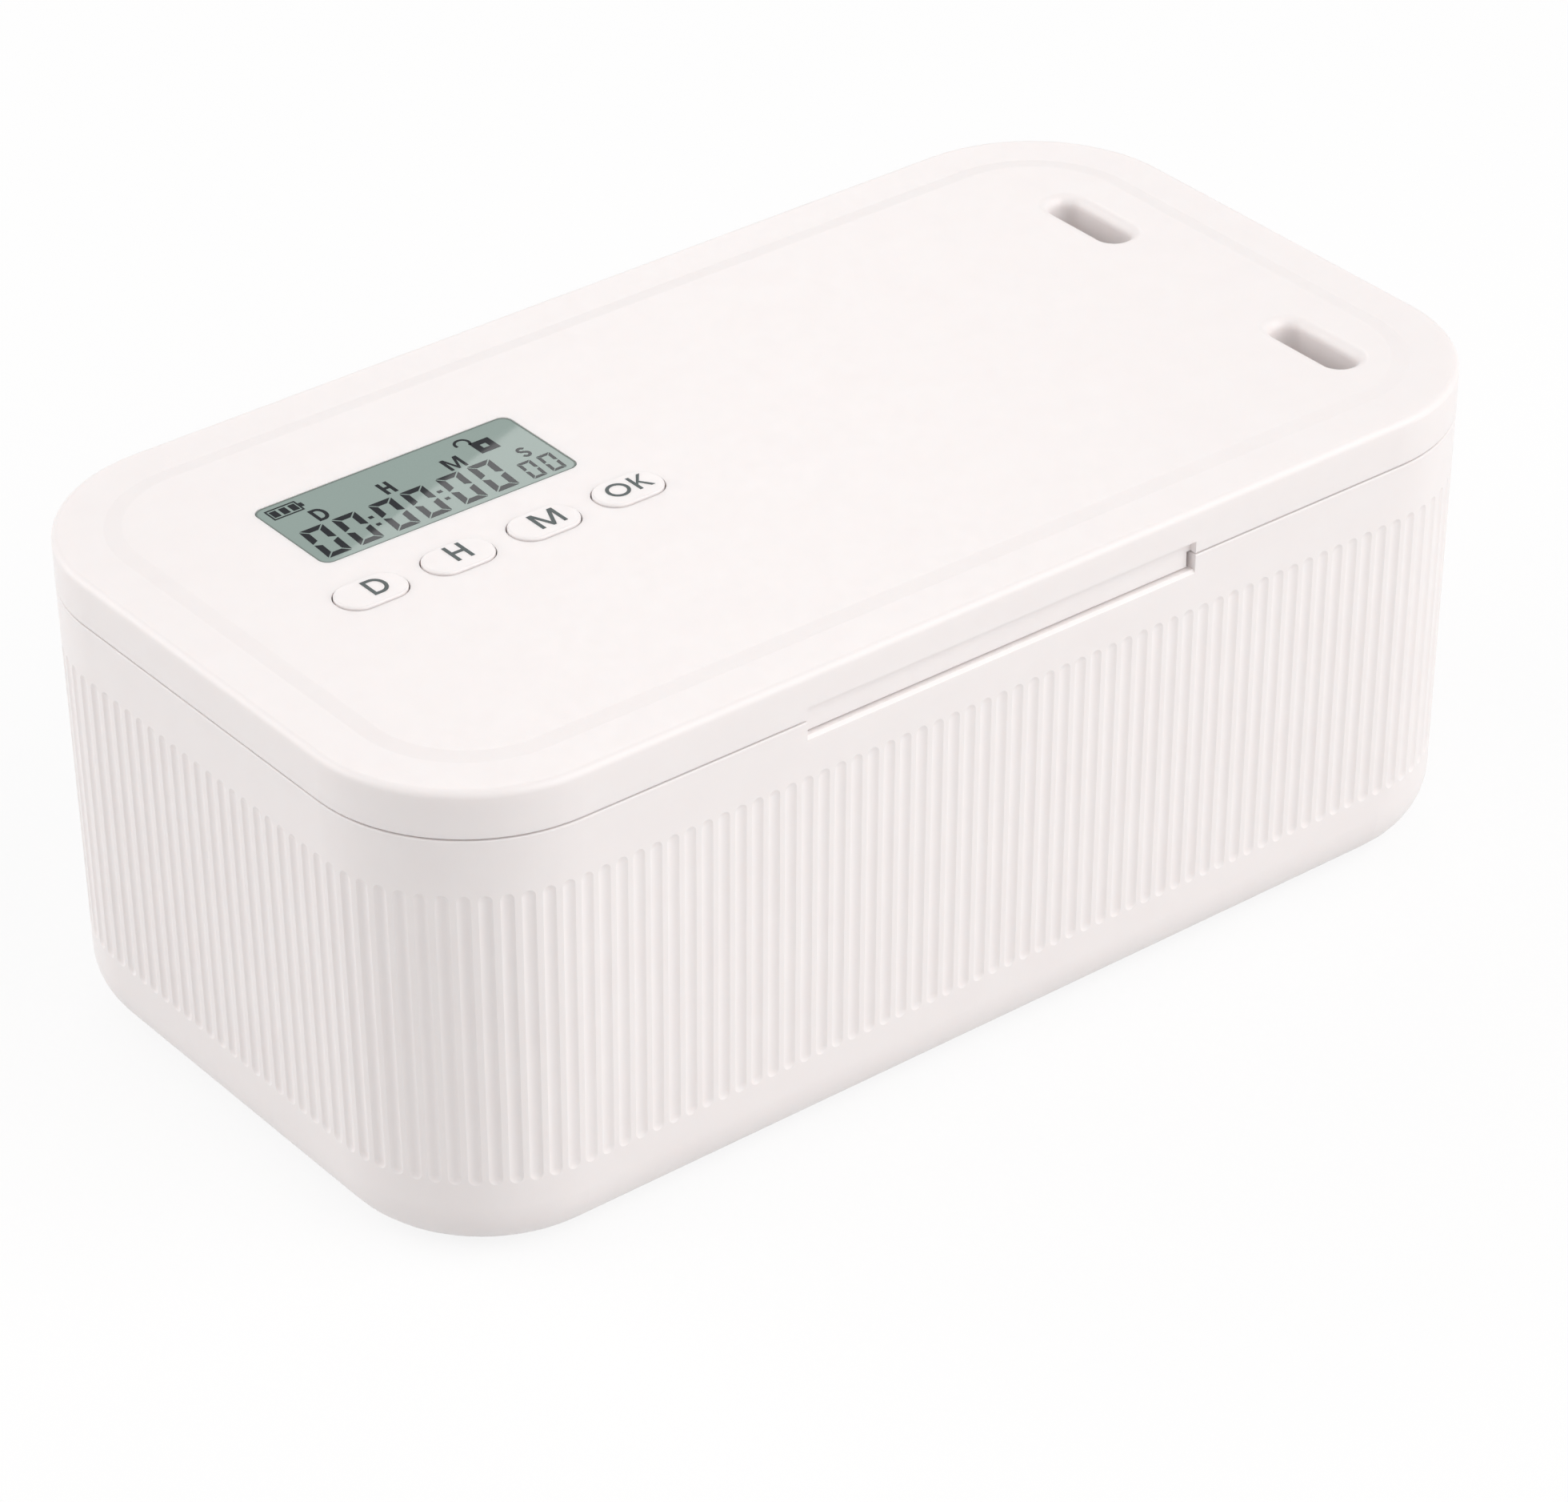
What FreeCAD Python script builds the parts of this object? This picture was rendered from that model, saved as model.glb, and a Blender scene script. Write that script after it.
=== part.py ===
import FreeCAD, Part
import math
import os

# Timed lock container: a tapered, fluted box and a lift-off lid. The lid carries a timer display,
# four buttons and a gear motor whose pinion drives two bolts, one into each short wall of the box.
# Millimetres, +Z up. The origin is the centre of the underside; -X is the end by the timer, and
# -Y is the long side that the user faces.

# ---- driving dimensions ----------------------------------------------------------------------

# outside
LENGTH = 228.0            # over the lid, at its top edge
WIDTH = 124.0
HEIGHT = 90.0
CORNER_R = 29.0           # plan corner at the lid's top edge
DRAFT = 1.6               # how far each wall leans in from the top to the underside
SKIRT = 8.8               # height of the lid's outer side below the lid top
SEAM_GAP = 0.32           # line between lid and box
EDGE_R = 0.25             # broken edges along the seam
LID_EDGE_R = 1.2          # round along the lid's top edge
CROWN = 0.3               # raised middle of the lid
CROWN_BORDER = 8.5        # flat border round it
CROWN_SLOPE = 3.0

# box
WALL = 3.0
FLOOR = 3.0
BASE_R = 10.5             # round along the underside
INNER_BASE_R = 7.0
FLUTES = 196
FLUTE_WIDTH = 2.3
FLUTE_DEPTH = 0.35
FLUTE_LOW = 16.5
FLUTE_HIGH = 69.6

# finger lift: a notch in the rim of both long sides, filled by a hollowed tongue of the lid
LIFT_LENGTH = 80.6
LIFT_OFFSET = -1.2        # along X
LIFT_DEPTH = 1.4          # of the hollow in the lid's side and its tongue
LIFT_UP = 2.3             # of the hollow above the seam
LIFT_DOWN = 2.85          # of the notch below the rim
LIFT_BEVEL = 0.6
LIFT_END_GAP = 0.8        # between the tongue and each end of the notch

# keepers: hollow blocks on the short walls, each with a socket for a bolt
KEEPER_DEPTH = 8.0
KEEPER_HEIGHT = 29.0
KEEPER_WALL = 2.0
KEEPER_RUN = 12.0         # of each S-shaped flank
KEEPER_FOOT = 0.8         # blunt edge of each flank at the wall
NEAR_KEEPER_WIDTH = 48.0
FAR_KEEPER_WIDTH = 60.0
KEEPER_DROP = 0.48        # its top below the rim
KEEPER_EDGE_R = 1.0
KEEPER_SCREW_PITCH = 14.0
KEEPER_SCREW_DROP = 17.0  # below the keeper's top
KEEPER_SCREW_LENGTH = 6.8
KEEPER_BOSS_R = 3.0

# lid shells
LID_WALL = 3.0
LID_TOP = 2.4
SHELL_FIT = 0.2           # the lid base inside the lid's skirt
PLUG_GAP = 0.6            # the lid base inside the box rim
PLUG_WALL = 2.0
PLUG_FLOOR = 2.0
PLUG_STEP_DROP = 4.7      # of the plug's step below the seam
PLUG_STEP = 2.9           # how far the lower step is set in from the upper one
PLUG_EDGE_R = 1.8
PLUG_CORNER_R = 2.5       # where each waist's flank meets the plug's end wall
FLANGE = 1.4              # part of the base inside the skirt, above the seam
WAIST_GAP = 0.9           # the lid base round the keepers

# lead slots
SLOT_FROM_END = 23.0
SLOT_OFFSET = -4.0        # of both along Y
SLOT_IN = 1.0             # of each from midway between the bolt and the lid's border
SLOT_WIDTH = 6.0
SLOT_LENGTH = 18.6
SLOT_R = 2.8
SLOT_LEAD_IN = 2.0
SLOT_COLLAR = 1.4

# lid screws, up through the base into the cover: a pair by each end, a pair halfway, one behind
# the far bolt
NEAR_SCREWS_FROM_END = 38.0
NEAR_SCREWS_FROM_SIDE = 17.5
FAR_SCREWS_FROM_END = 33.0
FAR_SCREWS_FROM_SIDE = 23.0
SIDE_SCREWS_X = 4.0
SIDE_SCREWS_FROM_SIDE = 25.0
SINGLE_SCREW_FROM_END = 57.0
LID_SCREW_R = 1.3
LID_SCREW_LENGTH = 9.0
SCREW_TIP_GAP = 0.5       # of every screw above the end of its blind hole
LID_SCREW_HEAD_R = 2.3
LID_SCREW_HEAD = 1.7
LID_BOSS_R = 3.2
BASE_BOSS = 3.0           # height of the base's own screw boss above its floor
HEAD_RECESS = 0.8         # of a lid screw's head below the underside

# small screws inside the lid and in the keepers
SMALL_SCREW_R = 1.0
SMALL_HEAD_R = 1.9
SMALL_HEAD = 1.2
SMALL_BOSS_R = 2.2
THREAD_GAP = 0.05         # radial, of a screw in its hole
HEAD_GAP = 0.15           # radial, of a head in its counterbore

# display
DISPLAY_FROM_END = 58.25
DISPLAY_FROM_SIDE = 39.65
WINDOW_LENGTH = 51.0
WINDOW_WIDTH = 21.3
WINDOW_R = 2.0
WINDOW_LIP = 1.2          # thickness of the lid top round the window
WINDOW_SINK = 0.1         # of the pane's face below the lid top
PANE_GAP = 0.1            # round the pane, and between it and the glass
GLASS_LENGTH = 55.0
GLASS_WIDTH = 24.4
GLASS_THICK = 2.7
FRAME_WALL = 1.0
FRAME_GAP = 0.1
CONTACT_LENGTH = 48.0
CONTACT_WIDTH = 2.0

# main board
BOARD_END = 1.65          # beyond the display frame
BOARD_EDGE = 1.0          # beyond the last button cap
BOARD_THICK = 1.6
BOARD_R = 1.5
BOARD_SCREW_LENGTH = 5.0
BOARD_SCREW_EDGE = 2.3    # from a screw to the board's edge
BOARD_SCREW_GAP = 0.5     # from a screw's boss to the display frame or a button's rim
BOARD_NOTCH = 14.0        # length of the front edge cut back to clear the lock

# buttons
BUTTONS = ["d", "h", "m", "ok"]
BUTTON_SHIFT = 0.95       # of the row's middle from the display's, along X
BUTTON_DROP = 11.4        # of the row from the window's front edge
BUTTON_PITCH = 17.0
BUTTON_LENGTH = 12.8
BUTTON_WIDTH = 7.9
BUTTON_R = 3.8
BUTTON_GAP = 0.25
BUTTON_PROUD = 0.5
BUTTON_EDGE_R = 0.4
BUTTON_TOP = 1.5
BUTTON_WALL = 1.2
BUTTON_RIM = 0.6          # the flange that stops it under the lid top
BUTTON_RIM_THICK = 0.9
BUTTON_STOP_GAP = 0.3     # above the rim at rest, and below it when pressed
BUTTON_TRAVEL = 0.5
STEM_R = 2.0
SWITCH_SIZE = 6.0
SWITCH_HEIGHT = 3.1
PLUNGER_R = 1.6
PLUNGER_PROUD = 0.8
PLUNGER_SEAT = 1.3        # its length inside the switch
PLUNGER_GAP = 0.06

# lock: rack and pinion
MODULE = 0.5
TEETH = 12
PRESSURE_ANGLE = 25.0
BACKLASH = 0.08
PINION_FROM_WAIST = 12.0
PINION_FACE = 5.0
ADDENDUM = 0.8            # share of the module, on both racks and the pinion
DEDENDUM = 1.25
THROW = 6.0               # of each bolt
RACK_BACK = 2.0           # thickness behind the teeth
SHAFT_R = 1.5
SHAFT_GAP = 0.05
SHAFT_SEAT = 1.5          # of the shaft inside the gearbox
RACK_REACH = 2.6          # of the rack past the pinion's axis at the ends of its travel
SLIDE_GAP = 0.3           # round each sliding bolt
ROOF_GAP = 0.25           # between the lock's roof and the lid's ceiling
BOLT_WIDTH = 19.0
BOLT_THICK = 3.4
BOLT_LIFT = 0.8           # of the near bolt's underside above the base floor
BOLT_INSET = 0.6          # its tip inside the lid base when drawn back
BOLT_RISER = 3.0
BOLT_TIP = 1.0            # chamfer on the tip
SOCKET_GAP = 0.6          # the keeper's socket round a bolt
BAR_WIDTH = 8.0
BAR_THICK = 2.4
BAR_LIFT = 0.5            # of the far bolt above the base floor
FAR_NOSE_GAP = 5.8        # from the single lid screw's boss to where the bar widens
GUIDE_THICK = 1.6
GUIDE_LENGTH = 8.0
GUIDES = 3
GUIDE_FIRST = 28.0        # from the pinion to the first guide
GUIDE_PITCH = 47.0

# gear motor, its chassis and strap
GEARBOX_WIDTH = 12.0
GEARBOX_HEIGHT = 10.0
GEARBOX_LENGTH = 9.0
MOTOR_R = 6.0
MOTOR_LENGTH = 15.0
MOTOR_CAP_R = 2.5
MOTOR_CAP = 0.8
CHASSIS_WALL = 1.4
CHASSIS_GAP = 0.2
EAR_R = 2.8
EAR_THICK = 1.5
CHASSIS_SCREW_LENGTH = 5.8
EAR_HEIGHT = 4.5          # of the ears' undersides above the base floor
ROOF_REACH = 4.0          # of the roof over the rack from the pinion's axis to the near end
STRAP_THICK = 0.8
STRAP_WIDTH = 5.0
SENSOR_LENGTH = 6.0
SENSOR_WIDTH = 4.6
SENSOR_SLOT = 2.0
SENSOR_HEIGHT = 4.6
FLAG_THICK = 0.9
FLAG_LENGTH = 3.0

# power
CELL_FROM_BOARD = 13.0
CELL_GAP = 2.8            # from the side screw's boss
CELL_LENGTH = 54.0
CELL_WIDTH = 34.0
CELL_THICK = 5.6
CELL_R = 1.8
PAD_THICK = 0.8
PAD_EDGE = 4.0            # of the cell left bare round the pad
PORT_WIDTH = 8.9
PORT_HEIGHT = 3.2
PORT_LENGTH = 7.4
PORT_WALL = 0.3
PORT_BACK = 1.0           # closed part at the back of the socket
PORT_TONGUE_INSET = 1.2
PORT_TONGUE = 0.7
PORT_INSET = 0.6          # of its mouth inside the lid's outer face
PORT_GAP = 0.2
PORT_BOARD_LENGTH = 19.0
PORT_BOARD_DEPTH = 13.0
PORT_BOARD_THICK = 1.2
PORT_BOARD_GAP = 0.4      # from its rear edge to the lid's skirt
PORT_SCREW_PITCH = 14.0
PORT_SCREW_LENGTH = 3.6
PORT_SCREW_EDGE = 10.5    # from the board's rear edge to its screws
PORT_ROOM = 0.4           # between the socket and the lid's ceiling
LEAD_R = 0.6
LEAD_PITCH = 1.5
LEAD_EXIT = 4.6           # straight out of a motor, cell or board
LEAD_BEND = 6.0           # room to turn
LEAD_RUN = 16.0           # the motor leads' last run, up to the board
HEADER_DEPTH = 4.0
HEADER_HEIGHT = 3.0

# ---- levels and places that follow -------------------------------------------------------------

SEAM_Z = HEIGHT - SKIRT
RIM_Z = SEAM_Z - SEAM_GAP
CEILING_Z = HEIGHT - LID_TOP
GLASS_TOP_Z = HEIGHT - WINDOW_LIP
FLANGE_Z = SEAM_Z + FLANGE
STEP_Z = SEAM_Z - PLUG_STEP_DROP
KEEPER_TOP_Z = RIM_Z - KEEPER_DROP
KEEPER_LOW_Z = KEEPER_TOP_Z - KEEPER_HEIGHT

# the lock's stack, from the lid's ceiling down to the base floor
PINION_R = MODULE * TEETH / 2.0
TOOTH_PITCH = math.pi * MODULE
ROOF_Z = CEILING_Z - ROOF_GAP - CHASSIS_WALL
NEAR_RACK_TOP_Z = ROOF_Z - SLIDE_GAP
NEAR_RACK_Z = NEAR_RACK_TOP_Z - RACK_BACK
PINION_Z = NEAR_RACK_Z - DEDENDUM * MODULE - PINION_R
BAR_TOP_Z = PINION_Z - PINION_R - DEDENDUM * MODULE
BAR_LOW_Z = BAR_TOP_Z - BAR_THICK
BASE_FLOOR_Z = BAR_LOW_Z - BAR_LIFT
PLUG_Z = BASE_FLOOR_Z - PLUG_FLOOR
BOSS_Z = BASE_FLOOR_Z + BASE_BOSS
BOLT_LOW_Z = BASE_FLOOR_Z + BOLT_LIFT
BOLT_TOP_Z = BOLT_LOW_Z + BOLT_THICK
FAR_BOLT_TOP_Z = BAR_LOW_Z + BOLT_THICK

# the board's stack, from the button rims down
BUTTON_RIM_TOP_Z = CEILING_Z - BUTTON_STOP_GAP
BUTTON_RIM_LOW_Z = BUTTON_RIM_TOP_Z - BUTTON_RIM_THICK
SWITCH_TOP_Z = BUTTON_RIM_LOW_Z - BUTTON_TRAVEL - BUTTON_STOP_GAP
PLUNGER_TOP_Z = SWITCH_TOP_Z + PLUNGER_PROUD
BOARD_TOP_Z = SWITCH_TOP_Z - SWITCH_HEIGHT
BOARD_LOW_Z = BOARD_TOP_Z - BOARD_THICK

# places in plan
SLOT_SPREAD = (WIDTH / 2.0 - CROWN_BORDER - CROWN_SLOPE + BOLT_WIDTH / 2.0) / 2.0 - SLOT_IN
SLOT_CENTRES = [(LENGTH / 2.0 - SLOT_FROM_END, SLOT_OFFSET + side * SLOT_SPREAD)
                for side in (-1, 1)]
SINGLE_SCREW_X = LENGTH / 2.0 - SINGLE_SCREW_FROM_END
LID_SCREWS = [(SINGLE_SCREW_X, 0.0)]
for side in (-1, 1):
    LID_SCREWS.append((NEAR_SCREWS_FROM_END - LENGTH / 2.0,
                       side * (WIDTH / 2.0 - NEAR_SCREWS_FROM_SIDE)))
    LID_SCREWS.append((SIDE_SCREWS_X, side * (WIDTH / 2.0 - SIDE_SCREWS_FROM_SIDE)))
    LID_SCREWS.append((LENGTH / 2.0 - FAR_SCREWS_FROM_END,
                       side * (WIDTH / 2.0 - FAR_SCREWS_FROM_SIDE)))
DISPLAY_X = DISPLAY_FROM_END - LENGTH / 2.0
DISPLAY_Y = WIDTH / 2.0 - DISPLAY_FROM_SIDE
BUTTON_X = DISPLAY_X + BUTTON_SHIFT - BUTTON_PITCH * (len(BUTTONS) - 1) / 2.0
BUTTON_Y = DISPLAY_Y - WINDOW_WIDTH / 2.0 - BUTTON_DROP
FRAME_HALF_X = GLASS_LENGTH / 2.0 + FRAME_GAP + FRAME_WALL
FRAME_HALF_Y = GLASS_WIDTH / 2.0 + FRAME_GAP + FRAME_WALL
BUTTON_FRONT_Y = BUTTON_Y - BUTTON_WIDTH / 2.0 - BUTTON_RIM
BOARD_LOW_X = DISPLAY_X - FRAME_HALF_X - BOARD_END
BOARD_HIGH_X = BUTTON_X + BUTTON_PITCH * (len(BUTTONS) - 1) + BUTTON_LENGTH / 2.0 + BOARD_EDGE
BOARD_SCREW_HIGH_Y = DISPLAY_Y + FRAME_HALF_Y + BOARD_SCREW_GAP + SMALL_BOSS_R
BOARD_SCREW_LOW_Y = BUTTON_FRONT_Y - BOARD_SCREW_GAP - SMALL_BOSS_R
BOARD_HIGH_Y = BOARD_SCREW_HIGH_Y + BOARD_SCREW_EDGE
BOARD_LOW_Y = BOARD_SCREW_LOW_Y - BOARD_SCREW_EDGE
BOARD_NOTCH_Y = max(BUTTON_FRONT_Y, -BOLT_WIDTH / 2.0)
BOARD_SCREWS = [(BOARD_LOW_X + BOARD_SCREW_EDGE, BOARD_SCREW_HIGH_Y),
                (BOARD_HIGH_X - BOARD_SCREW_EDGE, BOARD_SCREW_HIGH_Y),
                (BOARD_HIGH_X - BOARD_SCREW_EDGE, BOARD_SCREW_LOW_Y),
                (BOARD_LOW_X + BOARD_NOTCH + BOARD_SCREW_EDGE, BOARD_SCREW_LOW_Y)]
CELL_X = BOARD_HIGH_X + CELL_FROM_BOARD + CELL_LENGTH / 2.0
CELL_Y = WIDTH / 2.0 - SIDE_SCREWS_FROM_SIDE - LID_BOSS_R - CELL_GAP - CELL_WIDTH / 2.0


def vec(x, y, z):
    return FreeCAD.Vector(x, y, z)


def lean(z):
    """How far the outer wall stands in from the lid's top edge at height z."""
    return DRAFT * (HEIGHT - z) / HEIGHT


def wall_x(z, depth):
    """Half length at height z, at this depth inside the outer wall."""
    return LENGTH / 2.0 - lean(z) - depth


def wall_y(z, depth):
    return WIDTH / 2.0 - lean(z) - depth


# ---- shapes used all over ----------------------------------------------------------------------

def block(x0, x1, y0, y1, z0, z1):
    return Part.makeBox(x1 - x0, y1 - y0, z1 - z0, vec(x0, y0, z0))


def rod(x, y, z0, z1, radius):
    return Part.makeCylinder(radius, z1 - z0, vec(x, y, z0))


def rod_x(x0, x1, y, z, radius):
    return Part.makeCylinder(radius, abs(x1 - x0), vec(min(x0, x1), y, z), vec(1, 0, 0))


def rod_y(x, y0, y1, z, radius):
    return Part.makeCylinder(radius, y1 - y0, vec(x, y0, z), vec(0, 1, 0))


def rounded_wire(cx, cy, half_x, half_y, radius, z):
    """Rectangle with round corners, in a level plane."""
    ix, iy = half_x - radius, half_y - radius
    k = radius * math.sqrt(0.5)
    edges = []
    for sx, sy, turn in ((1, 1, 0), (-1, 1, 1), (-1, -1, 2), (1, -1, 3)):
        first = vec(cx + sx * half_x, cy + sy * iy, z)
        last = vec(cx + sx * ix, cy + sy * half_y, z)
        if turn % 2:
            first, last = last, first
        middle = vec(cx + sx * (ix + k), cy + sy * (iy + k), z)
        edges.append((first, middle, last))
    outline = []
    for n, (first, middle, last) in enumerate(edges):
        outline.append(Part.Arc(first, middle, last).toShape())
        following = edges[(n + 1) % 4][0]
        if last.distanceToPoint(following) > 1e-6:
            outline.append(Part.LineSegment(last, following).toShape())
    return Part.Wire(outline)


def rounded_block(cx, cy, size_x, size_y, radius, z0, z1):
    face = Part.Face(rounded_wire(cx, cy, size_x / 2.0, size_y / 2.0, radius, z0))
    return face.extrude(vec(0, 0, z1 - z0))


def tapered(z0, inset0, z1, inset1):
    """Block between two levels; each inset is measured from the lid's top outline."""
    wires = []
    for z, inset in ((z0, inset0), (z1, inset1)):
        wires.append(rounded_wire(0, 0, LENGTH / 2.0 - inset, WIDTH / 2.0 - inset,
                                  CORNER_R - inset, z))
    return Part.makeLoft(wires, True, True)


def wall_block(z0, z1, depth):
    """Block whose sides run parallel to the outer walls, this deep inside them."""
    return tapered(z0, lean(z0) + depth, z1, lean(z1) + depth)


def level_edges(shape, z):
    """Edges that lie in the level plane at z."""
    found = []
    for edge in shape.Edges:
        bounds = edge.BoundBox
        if abs(bounds.ZMin - z) < 1e-4 and abs(bounds.ZMax - z) < 1e-4:
            found.append(edge)
    return found


def extruded(points, start, along):
    """Closed polygon through the points, moved to start and extruded along a vector."""
    corners = [point + start for point in points]
    return Part.Face(Part.makePolygon(corners + corners[:1])).extrude(along)


def screw(x, y, seat_z, length, radius, head_r, head, up):
    """Screw with a flat head; up tells whether its shank points to +Z from the seat."""
    sign = 1.0 if up else -1.0
    shank = rod(x, y, min(seat_z, seat_z + sign * length), max(seat_z, seat_z + sign * length),
                radius)
    low = min(seat_z, seat_z - sign * head)
    return shank.fuse(rod(x, y, low, low + head, head_r)).removeSplitter()


def small_screw(x, y, seat_z, length, up):
    return screw(x, y, seat_z, length, SMALL_SCREW_R, SMALL_HEAD_R, SMALL_HEAD, up)


def tube(points, radius):
    """Round lead along a route of straight runs joined by tangent arcs, and the arcs' radii."""
    edges = []
    radii = []
    start = points[0]
    for before, corner, after in zip(points, points[1:], points[2:]):
        back = (before - corner)
        ahead = (after - corner)
        shorter = min(back.Length, ahead.Length)
        half_turn = (math.pi - back.getAngle(ahead)) / 2.0
        reach = 0.45 * shorter
        bend_r = reach / math.tan(half_turn)
        radii.append(bend_r)
        back.normalize()
        ahead.normalize()
        first = corner + back * reach
        last = corner + ahead * reach
        bisector = (back + ahead)
        bisector.normalize()
        middle = corner + bisector * (bend_r / math.cos(half_turn) - bend_r)
        edges.append(Part.LineSegment(start, first).toShape())
        edges.append(Part.Arc(first, middle, last).toShape())
        start = last
    edges.append(Part.LineSegment(start, points[-1]).toShape())
    path = Part.Wire(edges)
    section = Part.Wire(Part.Circle(points[0], points[1] - points[0], radius).toShape())
    return path.makePipeShell([section], True, False), radii


def keeper_crest():
    """Distance of a keeper's face from the middle of the box."""
    return wall_x(KEEPER_TOP_Z, WALL) - KEEPER_DEPTH


def waist_inner():
    """Distance of the face inside the lid base's waist from the middle."""
    return keeper_crest() - WAIST_GAP - PLUG_WALL


PINION_X = PINION_FROM_WAIST - waist_inner()
BEARING_Y = -(BOLT_WIDTH / 2.0 + SLIDE_GAP + CHASSIS_WALL)     # near face of the shaft's bearing
RACK_HIGH_Y = BEARING_Y - SLIDE_GAP
RACK_LOW_Y = RACK_HIGH_Y - PINION_FACE
EAR_Z = BASE_FLOOR_Z + EAR_HEIGHT
RACK_TIP_Z = PINION_Z + PINION_R - ADDENDUM * MODULE     # of the near rack's teeth
BAR_TIP_Z = PINION_Z - PINION_R + ADDENDUM * MODULE      # of the far rack's teeth
RISER_X = -(waist_inner() - THROW - SLIDE_GAP)           # near face of the near bolt's riser
FAR_NOSE_X = SINGLE_SCREW_X + LID_BOSS_R + FAR_NOSE_GAP


# ---- box ---------------------------------------------------------------------------------------

def flute_cutter(x, y, out_x, out_y):
    """Round-ended rod that cuts one flute into the wall where its outward direction points."""
    radius = (FLUTE_WIDTH ** 2 / 4.0 + FLUTE_DEPTH ** 2) / (2.0 * FLUTE_DEPTH)
    stand_off = radius - FLUTE_DEPTH
    low = vec(x + out_x * (stand_off - lean(FLUTE_LOW)),
              y + out_y * (stand_off - lean(FLUTE_LOW)), FLUTE_LOW)
    high = vec(x + out_x * (stand_off - lean(FLUTE_HIGH)),
               y + out_y * (stand_off - lean(FLUTE_HIGH)), FLUTE_HIGH)
    along = high - low
    length = along.Length
    profile = Part.Wire([
        Part.Arc(vec(0, 0, -radius), vec(radius * math.sqrt(0.5), 0, -radius * math.sqrt(0.5)),
                 vec(radius, 0, 0)).toShape(),
        Part.LineSegment(vec(radius, 0, 0), vec(radius, 0, length)).toShape(),
        Part.Arc(vec(radius, 0, length),
                 vec(radius * math.sqrt(0.5), 0, length + radius * math.sqrt(0.5)),
                 vec(0, 0, length + radius)).toShape(),
        Part.LineSegment(vec(0, 0, length + radius), vec(0, 0, -radius)).toShape(),
    ])
    cutter = Part.Face(profile).revolve(vec(0, 0, 0), vec(0, 0, 1), 360)
    cutter.Placement = FreeCAD.Placement(low, FreeCAD.Rotation(vec(0, 0, 1), along))
    return cutter


def flute_cutters():
    """Evenly spaced round the outline, half a pitch off the middle of the long side."""
    straight_x = LENGTH - 2.0 * CORNER_R
    straight_y = WIDTH - 2.0 * CORNER_R
    corner_r = CORNER_R - lean((FLUTE_LOW + FLUTE_HIGH) / 2.0)
    quarter = corner_r * math.pi / 2.0
    around = 2.0 * (straight_x + straight_y) + 4.0 * quarter
    runs = [straight_x / 2.0, quarter, straight_y, quarter, straight_x, quarter, straight_y,
            quarter, straight_x / 2.0]
    cutters = []
    for n in range(FLUTES):
        s = (n + 0.5) * around / FLUTES
        run = 0
        while s > runs[run]:
            s -= runs[run]
            run += 1
        cutters.append(flute_on_run(run, s, corner_r, straight_x / 2.0, straight_y / 2.0))
    return cutters


def flute_on_run(run, s, corner_r, half_x, half_y):
    """Flute at distance s along one run; the runs go round from the middle of the -Y side."""
    straights = {0: (s, -WIDTH / 2.0, 0, -1), 2: (LENGTH / 2.0, s - half_y, 1, 0),
                 4: (half_x - s, WIDTH / 2.0, 0, 1), 6: (-LENGTH / 2.0, half_y - s, -1, 0),
                 8: (s - half_x, -WIDTH / 2.0, 0, -1)}
    if run in straights:
        return flute_cutter(*straights[run])
    corner = {1: (1, -1, -90), 3: (1, 1, 0), 5: (-1, 1, 90), 7: (-1, -1, 180)}[run]
    angle = math.radians(corner[2]) + s / corner_r
    out_x, out_y = math.cos(angle), math.sin(angle)
    return flute_cutter(corner[0] * half_x + CORNER_R * out_x,
                        corner[1] * half_y + CORNER_R * out_y, out_x, out_y)


def along_lift(points, side, end_gap):
    """Prism on one long side, over the lift's length less a gap at each end."""
    corners = [vec(0, side * y, z) for y, z in points]
    start = vec(LIFT_OFFSET - LIFT_LENGTH / 2.0 + end_gap, 0, 0)
    return extruded(corners, start, vec(LIFT_LENGTH - 2.0 * end_gap, 0, 0))


def lift_notch(side):
    """Notch through the rim, its outer edge bevelled."""
    outer, inner, low = wall_y(RIM_Z, 0), wall_y(RIM_Z, WALL), RIM_Z - LIFT_DOWN
    return along_lift([(outer + 1, RIM_Z + 1), (inner - 1, RIM_Z + 1), (inner - 1, low),
                       (outer - LIFT_BEVEL, low), (outer + 1, low - LIFT_BEVEL - 1)], side, 0)


def lift_tongue(side):
    """Tongue of the lid in the notch; the lid's cavity and the hollow are cut from it later."""
    outer, inner = wall_y(SEAM_Z, LIFT_DEPTH / 2.0), wall_y(SEAM_Z, LID_WALL + 1)
    low, top = RIM_Z - LIFT_DOWN + SEAM_GAP, SEAM_Z + LIFT_UP / 2.0
    return along_lift([(outer, top), (inner, top), (inner, low), (outer, low)], side,
                      LIFT_END_GAP)


def lift_hollow(side):
    """Hollow for the fingertips in the lid's side and its tongue, bevelled along the top."""
    outer, deep, top = wall_y(SEAM_Z, 0), wall_y(SEAM_Z, LIFT_DEPTH), SEAM_Z + LIFT_UP
    low = RIM_Z - LIFT_DOWN
    return along_lift([(outer + 1, top), (deep + LIFT_BEVEL, top), (deep, top - LIFT_BEVEL),
                       (deep, low), (outer + 1, low)], side, 0)


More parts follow.
